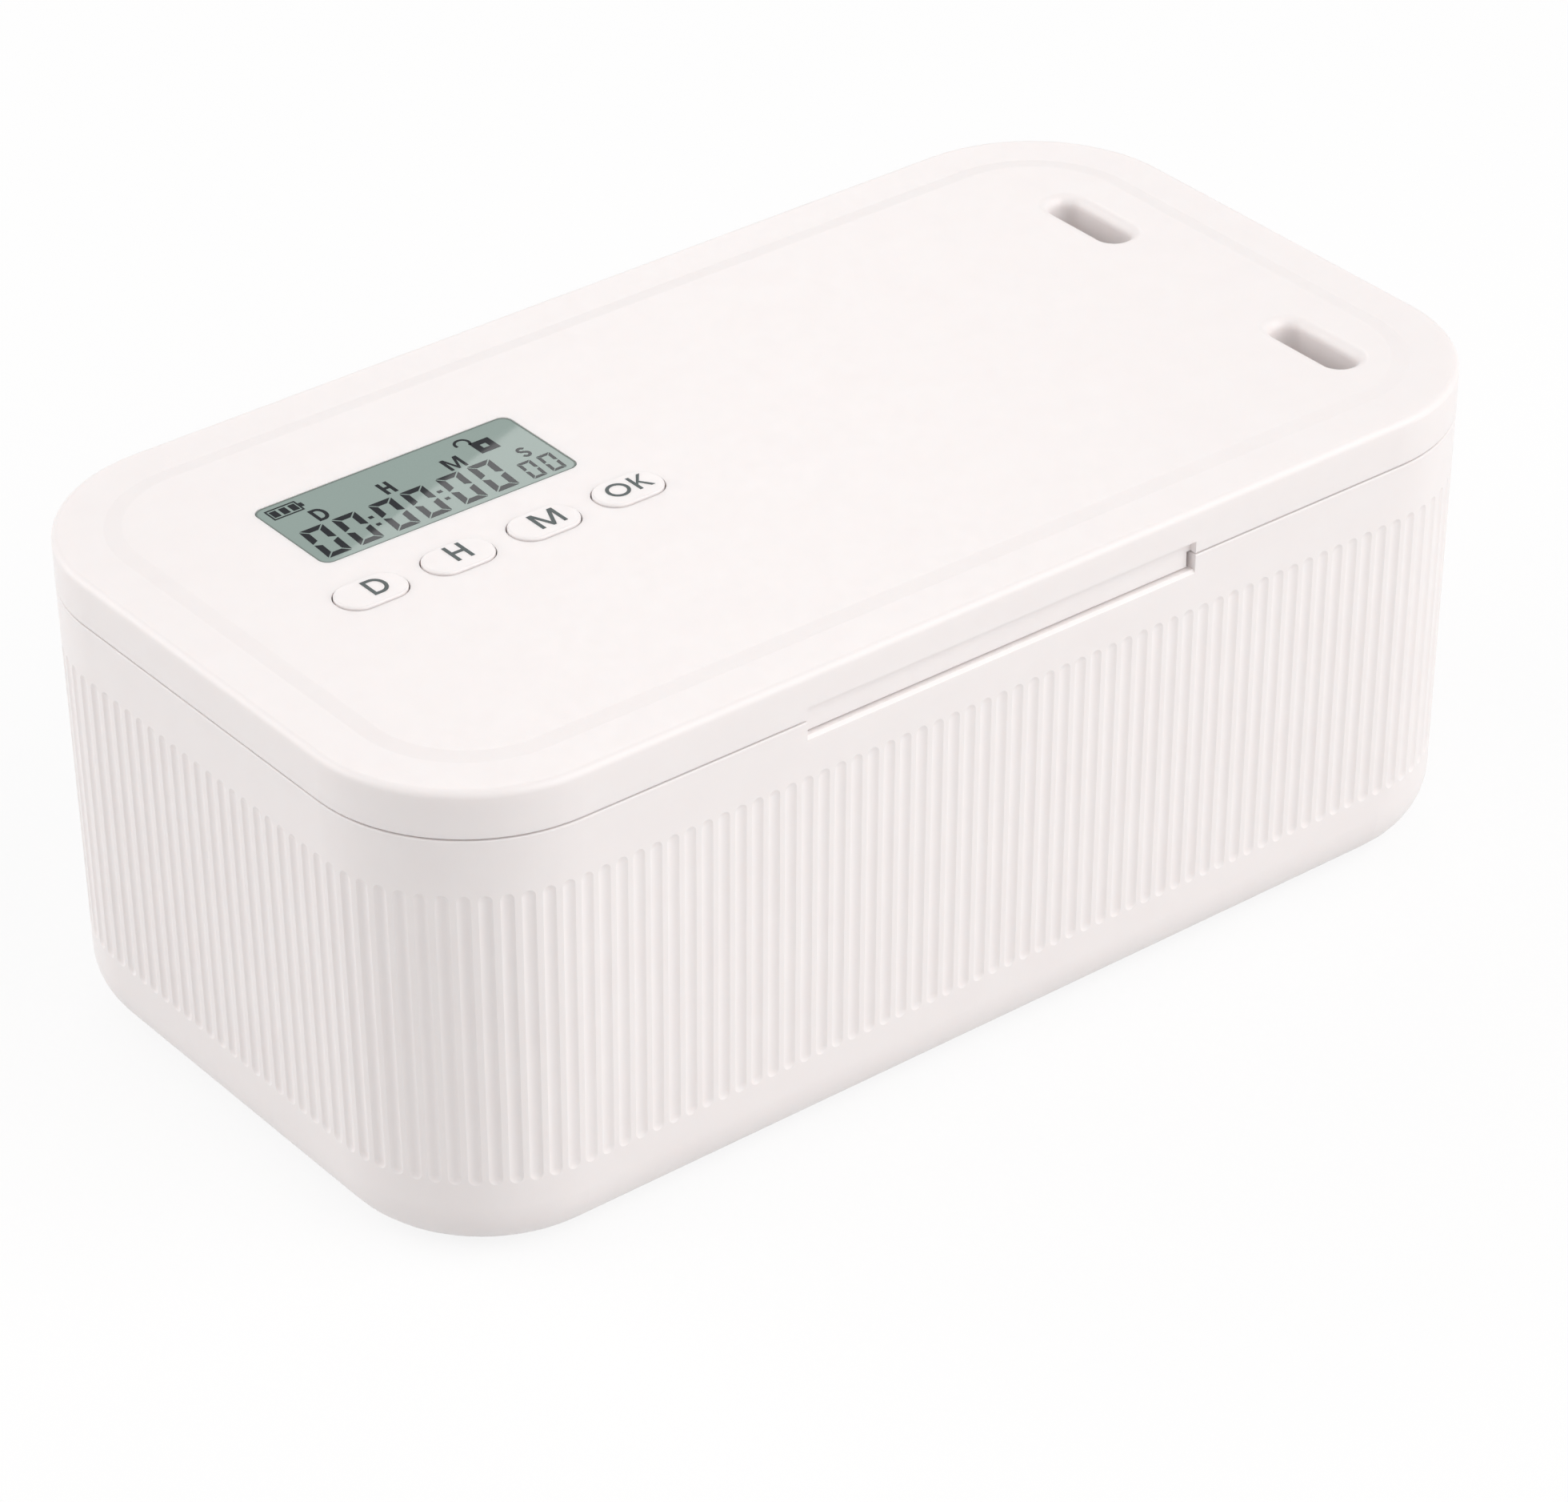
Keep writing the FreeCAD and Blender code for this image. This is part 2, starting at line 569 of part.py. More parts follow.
def keeper_boss(end, side):
    """Boss on the box wall that a keeper's screw holds in, as (solid, its hole)."""
    z = KEEPER_TOP_Z - KEEPER_SCREW_DROP
    y = side * KEEPER_SCREW_PITCH / 2.0
    root = wall_x(z, WALL / 2.0)
    tip = keeper_crest() + KEEPER_WALL
    bottom = keeper_crest() + SMALL_HEAD + KEEPER_SCREW_LENGTH + SCREW_TIP_GAP
    boss = rod_x(end * root, end * tip, y, z, KEEPER_BOSS_R)
    hole = rod_x(end * bottom, end * (tip - 1.0), y, z, SMALL_SCREW_R + THREAD_GAP)
    return boss, hole


def box_shell():
    shell = wall_block(0, RIM_Z, 0)
    shell = shell.makeFillet(BASE_R, level_edges(shell, 0))
    shell = shell.makeFillet(EDGE_R, level_edges(shell, RIM_Z))
    cavity = wall_block(FLOOR, HEIGHT, WALL)
    cavity = cavity.makeFillet(INNER_BASE_R, level_edges(cavity, FLOOR))
    shell = shell.cut(cavity)
    for end in (-1, 1):
        for side in (-1, 1):
            boss, hole = keeper_boss(end, side)
            shell = shell.fuse(boss).cut(hole)
    for side in (-1, 1):
        shell = shell.cut(lift_notch(side))
    return shell.cut(Part.makeCompound(flute_cutters()))


# ---- keepers -----------------------------------------------------------------------------------

def bulge(end, width, grow, back, z0, z1):
    """Keeper's plan shape as a solid: S-shaped flanks of two equal tangent arcs each.
    grow offsets it outwards, and back carries it on into the wall."""
    base = wall_x(KEEPER_TOP_Z, WALL)
    rise = KEEPER_DEPTH - KEEPER_FOOT
    radius = (KEEPER_RUN ** 2 + rise ** 2) / (4.0 * rise)
    half = width / 2.0
    hollow_c = (KEEPER_FOOT + radius, half)
    round_c = (KEEPER_DEPTH - radius, half - KEEPER_RUN)
    du = (round_c[0] - hollow_c[0]) / (2.0 * radius)
    dv = (round_c[1] - hollow_c[1]) / (2.0 * radius)
    turn = (hollow_c[0] + (radius - grow) * du, hollow_c[1] + (radius - grow) * dv)

    def on_arc(centre, reach, first, last):
        u, v = first[0] + last[0] - 2 * centre[0], first[1] + last[1] - 2 * centre[1]
        scale = reach / math.hypot(u, v)
        return (centre[0] + u * scale, centre[1] + v * scale)

    foot = (KEEPER_FOOT + grow, half)
    crest = (KEEPER_DEPTH + grow, half - KEEPER_RUN)
    flank = [foot, on_arc(hollow_c, radius - grow, foot, turn), turn,
             on_arc(round_c, radius + grow, turn, crest), crest]

    def place(point, side):
        return vec(end * (base - point[0]), side * point[1], z0)

    edges = []
    for side in (1, -1):
        p = [place(point, side) for point in flank]
        edges.append(Part.Arc(p[0], p[1], p[2]).toShape())
        edges.append(Part.Arc(p[2], p[3], p[4]).toShape())
        edges.append(Part.LineSegment(p[0], place((-back, half), side)).toShape())
    edges.append(Part.LineSegment(place(crest, 1), place(crest, -1)).toShape())
    edges.append(Part.LineSegment(place((-back, half), 1), place((-back, half), -1)).toShape())
    wire = Part.Wire(Part.__sortEdges__(edges))
    return Part.Face(wire).extrude(vec(0, 0, z1 - z0))


def keeper(end, width, bolt_low, bolt_top):
    """Hollow block with a closed top, open to the wall, with a bolt socket in its face."""
    body = bulge(end, width, 0, 2 * WALL, KEEPER_LOW_Z, KEEPER_TOP_Z)
    body = body.makeFillet(KEEPER_EDGE_R, [edge for edge in level_edges(body, KEEPER_TOP_Z)
                                           if end * edge.CenterOfMass.x < wall_x(HEIGHT, 0)])
    body = body.cut(bulge(end, width, -KEEPER_WALL, WALL * 2, KEEPER_LOW_Z - 1,
                          KEEPER_TOP_Z - KEEPER_WALL))
    body = body.common(wall_block(FLOOR, HEIGHT, WALL))
    crest = keeper_crest()
    half = BOLT_WIDTH / 2.0 + SOCKET_GAP
    body = body.cut(block(*sorted((end * (crest - 1), end * (crest + KEEPER_WALL + 1))),
                          -half, half, bolt_low - SOCKET_GAP, bolt_top + SOCKET_GAP))
    z = KEEPER_TOP_Z - KEEPER_SCREW_DROP
    for side in (-1, 1):
        y = side * KEEPER_SCREW_PITCH / 2.0
        body = body.cut(rod_x(end * (crest - 1), end * (crest + KEEPER_WALL + 1), y, z,
                              SMALL_SCREW_R + THREAD_GAP))
        body = body.cut(rod_x(end * (crest - 1), end * (crest + SMALL_HEAD), y, z,
                              SMALL_HEAD_R + HEAD_GAP))
    return body


def keeper_screws():
    screws = []
    z = KEEPER_TOP_Z - KEEPER_SCREW_DROP
    seat = keeper_crest() + SMALL_HEAD
    for end in (-1, 1):
        for side in (-1, 1):
            y = side * KEEPER_SCREW_PITCH / 2.0
            shank = rod_x(end * seat, end * (seat + KEEPER_SCREW_LENGTH), y, z, SMALL_SCREW_R)
            head = rod_x(end * (seat - SMALL_HEAD), end * seat, y, z, SMALL_HEAD_R)
            screws.append(shank.fuse(head).removeSplitter())
    return Part.makeCompound(screws)


# ---- lid shells --------------------------------------------------------------------------------

def slot_block(centre, grow, z0, z1):
    return rounded_block(centre[0], centre[1], SLOT_WIDTH + 2 * grow, SLOT_LENGTH + 2 * grow,
                         SLOT_R + grow, z0, z1)


def button_places():
    return [(name, BUTTON_X + n * BUTTON_PITCH) for n, name in enumerate(BUTTONS)]


def button_block(x, grow, z0, z1):
    return rounded_block(x, BUTTON_Y, BUTTON_LENGTH + 2 * grow, BUTTON_WIDTH + 2 * grow,
                         BUTTON_R + grow, z0, z1)


def port_hole(depth0, depth1, grow):
    """Block in the shape of the charging socket, between two depths inside the lid's rear face."""
    half = PORT_WIDTH / 2.0 + grow
    radius = PORT_HEIGHT / 2.0 + grow - 0.01
    z = port_z()
    face = Part.Face(rounded_wire(0, 0, half, PORT_HEIGHT / 2.0 + grow, radius, 0))
    solid = face.extrude(vec(0, 0, depth0 - depth1))
    solid.Placement = FreeCAD.Placement(vec(DISPLAY_X, wall_y(z, depth1), z),
                                        FreeCAD.Rotation(vec(1, 0, 0), 90))
    return solid


def port_z():
    return CEILING_Z - PORT_ROOM - PORT_HEIGHT / 2.0


def port_board_z():
    """Top of the charging board."""
    return port_z() - PORT_HEIGHT / 2.0


def port_board_rear():
    return wall_y(port_board_z(), LID_WALL + PORT_BOARD_GAP)


def port_screws():
    return [(DISPLAY_X + side * PORT_SCREW_PITCH / 2.0, port_board_rear() - PORT_SCREW_EDGE)
            for side in (-1, 1)]


def hanging_boss(x, y, low_z, radius, screw_r, screw_end_z):
    """Boss on the lid's ceiling, as (solid, its hole)."""
    boss = rod(x, y, low_z, CEILING_Z + LID_TOP / 4.0, radius)
    return boss, rod(x, y, low_z - 1, screw_end_z + SCREW_TIP_GAP, screw_r + THREAD_GAP)


def cover_bosses():
    bosses = [hanging_boss(x, y, BOSS_Z, LID_BOSS_R, LID_SCREW_R,
                           lid_screw_seat() + LID_SCREW_LENGTH) for x, y in LID_SCREWS]
    bosses += [hanging_boss(x, y, BOARD_TOP_Z, SMALL_BOSS_R, SMALL_SCREW_R,
                            BOARD_LOW_Z + BOARD_SCREW_LENGTH) for x, y in BOARD_SCREWS]
    bosses += [hanging_boss(x, y, port_board_z(), SMALL_BOSS_R, SMALL_SCREW_R,
                            port_board_z() - PORT_BOARD_THICK + PORT_SCREW_LENGTH)
               for x, y in port_screws()]
    return bosses


def lid_cover():
    edge_z = HEIGHT - CROWN
    cover = wall_block(SEAM_Z, edge_z, 0)
    cover = cover.makeFillet(LID_EDGE_R, level_edges(cover, edge_z))
    cover = cover.makeFillet(EDGE_R, level_edges(cover, SEAM_Z))
    slope = CROWN_SLOPE / CROWN
    root = CROWN                       # the crown's foot starts this far below the border
    crown = tapered(edge_z - root, CROWN_BORDER - slope * root, HEIGHT,
                    CROWN_BORDER + CROWN_SLOPE)
    cover = cover.fuse(crown).removeSplitter()
    for side in (-1, 1):
        cover = cover.fuse(lift_tongue(side))
    cover = cover.cut(wall_block(RIM_Z - LIFT_DOWN, CEILING_Z, LID_WALL))
    for side in (-1, 1):
        cover = cover.cut(lift_hollow(side))
    for boss, hole in cover_bosses():
        cover = cover.fuse(boss).cut(hole)
    for centre in SLOT_CENTRES:
        cover = cover.fuse(slot_block(centre, SLOT_COLLAR, BASE_FLOOR_Z,
                                      CEILING_Z + LID_TOP / 4.0))
        cover = cover.cut(slot_block(centre, 0, BASE_FLOOR_Z - 1, HEIGHT + 1))
    cover = cover.removeSplitter()
    cover = cover.makeFillet(SLOT_LEAD_IN, slot_edges(cover))
    cover = cover.cut(window_cutter())
    for _, x in button_places():
        cover = cover.cut(button_block(x, BUTTON_GAP, CEILING_Z - 1, HEIGHT + 1))
    return cover.cut(port_hole(-1, LID_WALL + 2, PORT_GAP))


def slot_edges(cover):
    """Mouths of the lead slots on the lid's top."""
    found = []
    for edge in level_edges(cover, HEIGHT):
        x, y = edge.CenterOfMass.x, edge.CenterOfMass.y
        for centre in SLOT_CENTRES:
            if abs(x - centre[0]) < SLOT_WIDTH and abs(y - centre[1]) < SLOT_LENGTH:
                found.append(edge)
    return found


def window_cutter():
    """Window, and the pocket for the glass under its lip."""
    window = rounded_block(DISPLAY_X, DISPLAY_Y, WINDOW_LENGTH, WINDOW_WIDTH, WINDOW_R,
                           CEILING_Z - 1, HEIGHT + 1)
    return window.fuse(glass_block(FRAME_GAP, CEILING_Z - 1, GLASS_TOP_Z))


def waist(end, width, grow, z0, z1):
    return bulge(end, width, grow, 3 * WALL, z0, z1)


def waisted(z0, z1, depth):
    """Block inside the box wall, narrowed by a waist at each end."""
    body = wall_block(z0, z1, depth)
    for end, width in ends():
        body = body.cut(waist(end, width, WAIST_GAP, z0 - 1, z1 + 1))
    return body


def flank_corners(body, z0, depth):
    """Upright edges where the flanks of the waists meet the end walls."""
    return [edge for edge in body.Edges
            if edge.BoundBox.ZLength > edge.Length / 2.0
            and abs(edge.CenterOfMass.y) < WIDTH / 2.0 - CORNER_R - 0.01
            and abs(edge.CenterOfMass.x) > wall_x(z0, depth) - 0.01]


def lid_base():
    """Tray under the lid: a two-step plug with a waist round each keeper."""
    step = WALL + PLUG_GAP
    low = step + PLUG_STEP
    lower = waisted(PLUG_Z, STEP_Z + 1, low)
    lower = lower.makeFillet(PLUG_CORNER_R, flank_corners(lower, PLUG_Z, low))
    lower = lower.makeFillet(PLUG_EDGE_R, level_edges(lower, PLUG_Z))
    upper = waisted(STEP_Z, SEAM_Z + SHELL_FIT, step)
    flange = wall_block(SEAM_Z + SHELL_FIT, FLANGE_Z, LID_WALL + SHELL_FIT)
    tray = lower.fuse(upper).fuse(flange)
    room = wall_block(BASE_FLOOR_Z, STEP_Z + PLUG_WALL, low + PLUG_WALL)
    room = room.fuse(wall_block(STEP_Z + PLUG_WALL, FLANGE_Z + 1, step + PLUG_WALL))
    for end, width in ends():
        room = room.cut(waist(end, width, WAIST_GAP + PLUG_WALL, PLUG_Z - 1,
                              SEAM_Z + SHELL_FIT + PLUG_WALL))
    tray = tray.cut(room).removeSplitter()
    for x, y in LID_SCREWS:
        tray = tray.fuse(rod(x, y, PLUG_Z + PLUG_FLOOR / 2.0, BOSS_Z, LID_BOSS_R))
    for x, y in LID_SCREWS:
        seat = lid_screw_seat()
        tray = tray.cut(rod(x, y, PLUG_Z - 1, seat, LID_SCREW_HEAD_R + HEAD_GAP))
        tray = tray.cut(rod(x, y, PLUG_Z - 1, BOSS_Z + 1, LID_SCREW_R + THREAD_GAP))
    for centre in SLOT_CENTRES:
        tray = tray.cut(slot_block(centre, 0, PLUG_Z - 1, BASE_FLOOR_Z + 1))
    for end, low_z, top_z in ((-1, BOLT_LOW_Z, BOLT_TOP_Z), (1, BAR_LOW_Z, FAR_BOLT_TOP_Z)):
        half = BOLT_WIDTH / 2.0 + SLIDE_GAP
        x0, x1 = sorted((end * (waist_inner() - 1), end * (waist_inner() + PLUG_WALL + 1)))
        tray = tray.cut(block(x0, x1, -half, half, low_z - SLIDE_GAP, top_z + SLIDE_GAP))
    for guide in bar_guides():
        tray = tray.fuse(guide)
    for x, y in ear_places():
        tray = tray.fuse(rod(x, y, PLUG_Z + PLUG_FLOOR / 2.0, EAR_Z, SMALL_BOSS_R))
        tray = tray.cut(rod(x, y, EAR_Z + EAR_THICK + STRAP_THICK - CHASSIS_SCREW_LENGTH
                            - SCREW_TIP_GAP, EAR_Z + 1, SMALL_SCREW_R + THREAD_GAP))
    return tray


def ends():
    return ((-1, NEAR_KEEPER_WIDTH), (1, FAR_KEEPER_WIDTH))


def lid_screw_seat():
    return PLUG_Z + HEAD_RECESS + LID_SCREW_HEAD


def lid_screws():
    return Part.makeCompound([
        screw(x, y, lid_screw_seat(), LID_SCREW_LENGTH, LID_SCREW_R, LID_SCREW_HEAD_R,
              LID_SCREW_HEAD, True) for x, y in LID_SCREWS])


# ---- display and board -------------------------------------------------------------------------

def display_window():
    return rounded_block(DISPLAY_X, DISPLAY_Y, WINDOW_LENGTH - 2 * PANE_GAP,
                         WINDOW_WIDTH - 2 * PANE_GAP, WINDOW_R - PANE_GAP, GLASS_TOP_Z + PANE_GAP,
                         HEIGHT - WINDOW_SINK)


def glass_block(grow, z0, z1):
    half_x, half_y = GLASS_LENGTH / 2.0 + grow, GLASS_WIDTH / 2.0 + grow
    return block(DISPLAY_X - half_x, DISPLAY_X + half_x, DISPLAY_Y - half_y, DISPLAY_Y + half_y,
                 z0, z1)


def contact_blocks(grow):
    blocks = []
    for side in (-1, 1):
        y = DISPLAY_Y + side * (GLASS_WIDTH / 2.0 - CONTACT_WIDTH)
        blocks.append(block(DISPLAY_X - CONTACT_LENGTH / 2.0 - grow,
                            DISPLAY_X + CONTACT_LENGTH / 2.0 + grow,
                            y - CONTACT_WIDTH / 2.0 - grow, y + CONTACT_WIDTH / 2.0 + grow,
                            BOARD_TOP_Z, GLASS_TOP_Z - GLASS_THICK))
    return blocks


def display_frame():
    frame = block(DISPLAY_X - FRAME_HALF_X, DISPLAY_X + FRAME_HALF_X, DISPLAY_Y - FRAME_HALF_Y,
                  DISPLAY_Y + FRAME_HALF_Y, BOARD_TOP_Z, CEILING_Z)
    frame = frame.cut(glass_block(FRAME_GAP, GLASS_TOP_Z - GLASS_THICK, HEIGHT))
    ledge = GLASS_WIDTH / 2.0 - 2 * CONTACT_WIDTH - FRAME_WALL
    frame = frame.cut(block(DISPLAY_X - CONTACT_LENGTH / 2.0, DISPLAY_X + CONTACT_LENGTH / 2.0,
                            DISPLAY_Y - ledge, DISPLAY_Y + ledge, BOARD_TOP_Z - 1, HEIGHT))
    for pocket in contact_blocks(FRAME_GAP):
        frame = frame.cut(pocket)
    return frame


def main_board():
    board = rounded_block((BOARD_LOW_X + BOARD_HIGH_X) / 2.0, (BOARD_LOW_Y + BOARD_HIGH_Y) / 2.0,
                          BOARD_HIGH_X - BOARD_LOW_X, BOARD_HIGH_Y - BOARD_LOW_Y, BOARD_R,
                          BOARD_LOW_Z, BOARD_TOP_Z)
    board = board.cut(block(BOARD_LOW_X - 1, BOARD_LOW_X + BOARD_NOTCH, BOARD_LOW_Y - 1,
                            BOARD_NOTCH_Y, BOARD_LOW_Z - 1, BOARD_TOP_Z + 1))
    for x, y in BOARD_SCREWS:
        board = board.cut(rod(x, y, BOARD_LOW_Z - 1, BOARD_TOP_Z + 1, SMALL_SCREW_R + THREAD_GAP))
    return board


# parts on the board's underside, from the display's middle: x, y, size along X, along Y, height
CHIPS = [(0.0, 0.0, 12.0, 12.0, 1.6), (20.0, 4.0, 6.0, 5.0, 1.5), (-18.0, 4.0, 5.0, 4.0, 1.4),
         (20.0, -10.0, 4.0, 4.0, 1.8), (-12.0, -12.0, 3.2, 1.6, 0.9), (-6.0, -12.0, 3.2, 1.6, 0.9),
         (10.0, -14.0, 3.2, 1.6, 0.9)]
CRYSTAL = (-14.0, 11.6, 8.0, 1.5)      # x, y, length, radius
HEADER_SIZE = 5.0
HEADER_EDGE = 0.5
MOTOR_HEADER_IN = 40.0    # from the board's -X edge
CELL_HEADER_OFF = 2.0     # from the cell's middle, along Y
PORT_HEADER_OFF = 20.0    # from the display's middle, along X
MOTOR_HEADER = (BOARD_LOW_X + MOTOR_HEADER_IN, BOARD_LOW_Y + HEADER_EDGE + HEADER_DEPTH / 2.0)
CELL_HEADER = (BOARD_HIGH_X - HEADER_EDGE - HEADER_SIZE / 2.0, CELL_Y + CELL_HEADER_OFF)
PORT_HEADER = (DISPLAY_X + PORT_HEADER_OFF, BOARD_HIGH_Y - HEADER_EDGE - HEADER_DEPTH / 2.0)


def board_parts():
    parts = []
    for x, y, size_x, size_y, height in CHIPS:
        parts.append(rounded_block(DISPLAY_X + x, DISPLAY_Y + y, size_x, size_y, 0.1,
                                   BOARD_LOW_Z - height, BOARD_LOW_Z))
    x, y, length, radius = CRYSTAL
    parts.append(rod_x(DISPLAY_X + x, DISPLAY_X + x + length, DISPLAY_Y + y,
                       BOARD_LOW_Z - radius, radius))
    for x, y in (MOTOR_HEADER, CELL_HEADER, PORT_HEADER):
        parts.append(block(x - HEADER_SIZE / 2.0, x + HEADER_SIZE / 2.0, y - HEADER_DEPTH / 2.0,
                           y + HEADER_DEPTH / 2.0, BOARD_LOW_Z - HEADER_HEIGHT, BOARD_LOW_Z))
    return Part.makeCompound(parts)


def board_screws():
    return Part.makeCompound([small_screw(x, y, BOARD_LOW_Z, BOARD_SCREW_LENGTH, True)
                              for x, y in BOARD_SCREWS])


# ---- buttons -----------------------------------------------------------------------------------

def button(x):
    cap = button_block(x, 0, BUTTON_RIM_LOW_Z, HEIGHT + BUTTON_PROUD)
    cap = cap.makeFillet(BUTTON_EDGE_R, level_edges(cap, HEIGHT + BUTTON_PROUD))
    cap = cap.fuse(button_block(x, BUTTON_RIM, BUTTON_RIM_LOW_Z, BUTTON_RIM_TOP_Z))
    inside_z = HEIGHT + BUTTON_PROUD - BUTTON_TOP
    cap = cap.cut(button_block(x, -BUTTON_WALL, BUTTON_RIM_LOW_Z - 1, inside_z))
    return cap.fuse(rod(x, BUTTON_Y, PLUNGER_TOP_Z, inside_z + BUTTON_TOP / 2.0,
                        STEM_R)).removeSplitter()


def plunger(x):
    return rod(x, BUTTON_Y, PLUNGER_TOP_Z - PLUNGER_PROUD - PLUNGER_SEAT, PLUNGER_TOP_Z, PLUNGER_R)


def tact_switches():
    bodies = []
    half = SWITCH_SIZE / 2.0
    for _, x in button_places():
        body = block(x - half, x + half, BUTTON_Y - half, BUTTON_Y + half, BOARD_TOP_Z,
                     BOARD_TOP_Z + SWITCH_HEIGHT)
        floor = BOARD_TOP_Z + SWITCH_HEIGHT - PLUNGER_SEAT - BUTTON_TRAVEL - BUTTON_STOP_GAP
        bodies.append(body.cut(rod(x, BUTTON_Y, floor, HEIGHT, PLUNGER_R + PLUNGER_GAP)))
    return Part.makeCompound(bodies)


# ---- lock --------------------------------------------------------------------------------------

def involute(angle):
    return math.tan(angle) - angle


def drive_pinion():
    """Spur pinion about Y with involute teeth; one tooth points down and one points up."""
    pressure = math.radians(PRESSURE_ANGLE)
    base_r = PINION_R * math.cos(pressure)
    tip_r = PINION_R + ADDENDUM * MODULE
    root_r = PINION_R - DEDENDUM * MODULE
    half_pitch = (TOOTH_PITCH / 2.0 - BACKLASH) / (2.0 * PINION_R)
    steps = 4
    flank = [(root_r, half_pitch + involute(pressure))]
    for n in range(steps + 1):
        radius = base_r + (tip_r - base_r) * n / steps
        flank.append((radius, half_pitch + involute(pressure)
                      - involute(math.acos(base_r / radius))))
    points = []
    for tooth in range(TEETH):
        middle = 2.0 * math.pi * tooth / TEETH
        sides = [(r, middle - half) for r, half in flank]
        sides += [(r, middle + half) for r, half in reversed(flank)]
        points += [vec(r * math.sin(angle), 0, r * math.cos(angle)) for r, angle in sides]
    wheel = extruded(points, vec(PINION_X, RACK_LOW_Y, PINION_Z), vec(0, PINION_FACE, 0))
    return wheel.cut(rod_y(PINION_X, RACK_LOW_Y - 1, RACK_HIGH_Y + 1, PINION_Z, SHAFT_R))


def output_shaft():
    return rod_y(PINION_X, gearbox_front() - SHAFT_SEAT, BEARING_Y + CHASSIS_WALL, PINION_Z, SHAFT_R)


def gearbox_front():
    """Y of the gearbox face that the shaft comes out of."""
    return RACK_LOW_Y - SLIDE_GAP - CHASSIS_WALL - CHASSIS_GAP


def rack_teeth(x_low, x_high, pitch_z, sign):
    """Rack teeth that point along sign Z, with a gap at the pinion's axis."""
    slope = math.tan(math.radians(PRESSURE_ANGLE))
    high, low = ADDENDUM * MODULE, DEDENDUM * MODULE
    middle = TOOTH_PITCH / 4.0 - BACKLASH / 2.0
    tip, root = middle - high * slope, middle + low * slope
    teeth = []
    first = math.ceil((x_low + root - PINION_X) / TOOTH_PITCH - 0.5)
    last = math.floor((x_high - root - PINION_X) / TOOTH_PITCH - 0.5)
    for n in range(first, last + 1):
        x = PINION_X + (n + 0.5) * TOOTH_PITCH
        profile = [vec(-root, 0, -sign * low), vec(-tip, 0, sign * high), vec(tip, 0, sign * high),
                   vec(root, 0, -sign * low), vec(root, 0, -sign * (low + 0.3)),
                   vec(-root, 0, -sign * (low + 0.3))]
        teeth.append(extruded(profile, vec(x, RACK_LOW_Y, pitch_z), vec(0, PINION_FACE, 0)))
    return teeth


def bolt_nose(end, x, low_z, top_z):
    """Nose of a bolt from x out to its tip, which is chamfered along its upper edge."""
    tip = end * (waist_inner() + PLUG_WALL - BOLT_INSET)
    half = BOLT_WIDTH / 2.0
    nose = block(min(x, tip), max(x, tip), -half, half, low_z, top_z)
    return nose.makeChamfer(BOLT_TIP, [edge for edge in level_edges(nose, top_z)
                                       if abs(edge.CenterOfMass.x - tip) < 1e-6])


def near_bolt():
    """Nose through the lid base, a riser, and a rack over the pinion. Drawn back at rest."""
    half = BOLT_WIDTH / 2.0
    riser_end = RISER_X + BOLT_RISER
    rack_end = PINION_X + THROW + RACK_REACH
    bolt = bolt_nose(-1, riser_end, BOLT_LOW_Z, BOLT_TOP_Z)
    bolt = bolt.fuse(block(RISER_X, riser_end, -half, half, BOLT_LOW_Z, NEAR_RACK_TOP_Z))
    bolt = bolt.fuse(block(RISER_X, riser_end, RACK_LOW_Y, half, NEAR_RACK_Z, NEAR_RACK_TOP_Z))
    bolt = bolt.fuse(block(RISER_X, rack_end, RACK_LOW_Y, RACK_HIGH_Y, NEAR_RACK_Z,
                           NEAR_RACK_TOP_Z))
    for tooth in rack_teeth(PINION_X - RACK_REACH, rack_end, PINION_Z + PINION_R, -1):
        bolt = bolt.fuse(tooth)
    flag = block(riser_end - BOLT_RISER / 2.0, riser_end + FLAG_LENGTH, half - FLAG_THICK, half,
                 BOLT_LOW_Z, BOLT_LOW_Z + SENSOR_HEIGHT)
    return bolt.fuse(flag).removeSplitter()


def far_bolt():
    """Flat bar under the board: a rack below the pinion at one end, the far nose at the other."""
    rack_end = PINION_X - THROW - RACK_REACH
    bar_x = PINION_X + RACK_REACH
    nose_end = FAR_NOSE_X + BAR_WIDTH
    bar = block(rack_end, nose_end, RACK_LOW_Y, RACK_HIGH_Y, BAR_LOW_Z, BAR_TOP_Z)
    bar = bar.fuse(block(bar_x, nose_end, RACK_LOW_Y, RACK_LOW_Y + BAR_WIDTH, BAR_LOW_Z,
                         BAR_TOP_Z))
    bar = bar.fuse(block(FAR_NOSE_X, nose_end, RACK_LOW_Y, BOLT_WIDTH / 2.0, BAR_LOW_Z,
                         BAR_TOP_Z))
    bar = bar.fuse(bolt_nose(1, FAR_NOSE_X, BAR_LOW_Z, FAR_BOLT_TOP_Z))
    for tooth in rack_teeth(rack_end, bar_x, PINION_Z - PINION_R, 1):
        bar = bar.fuse(tooth)
    return bar.removeSplitter()


def bar_guides():
    """Bridges on the base floor that the far bolt's bar slides under."""
    low_y = RACK_LOW_Y - SLIDE_GAP
    high_y = RACK_LOW_Y + BAR_WIDTH + SLIDE_GAP
    top_z = BAR_TOP_Z + SLIDE_GAP
    guides = []
    for n in range(GUIDES):
        x = PINION_X + GUIDE_FIRST + n * GUIDE_PITCH
        bridge = block(x, x + GUIDE_LENGTH, low_y - GUIDE_THICK, high_y + GUIDE_THICK,
                       PLUG_Z + PLUG_FLOOR / 2.0, top_z + GUIDE_THICK)
        guides.append(bridge.cut(block(x - 1, x + GUIDE_LENGTH + 1, low_y, high_y, BASE_FLOOR_Z,
                                       top_z)))
    return guides


# ---- gear motor and chassis --------------------------------------------------------------------

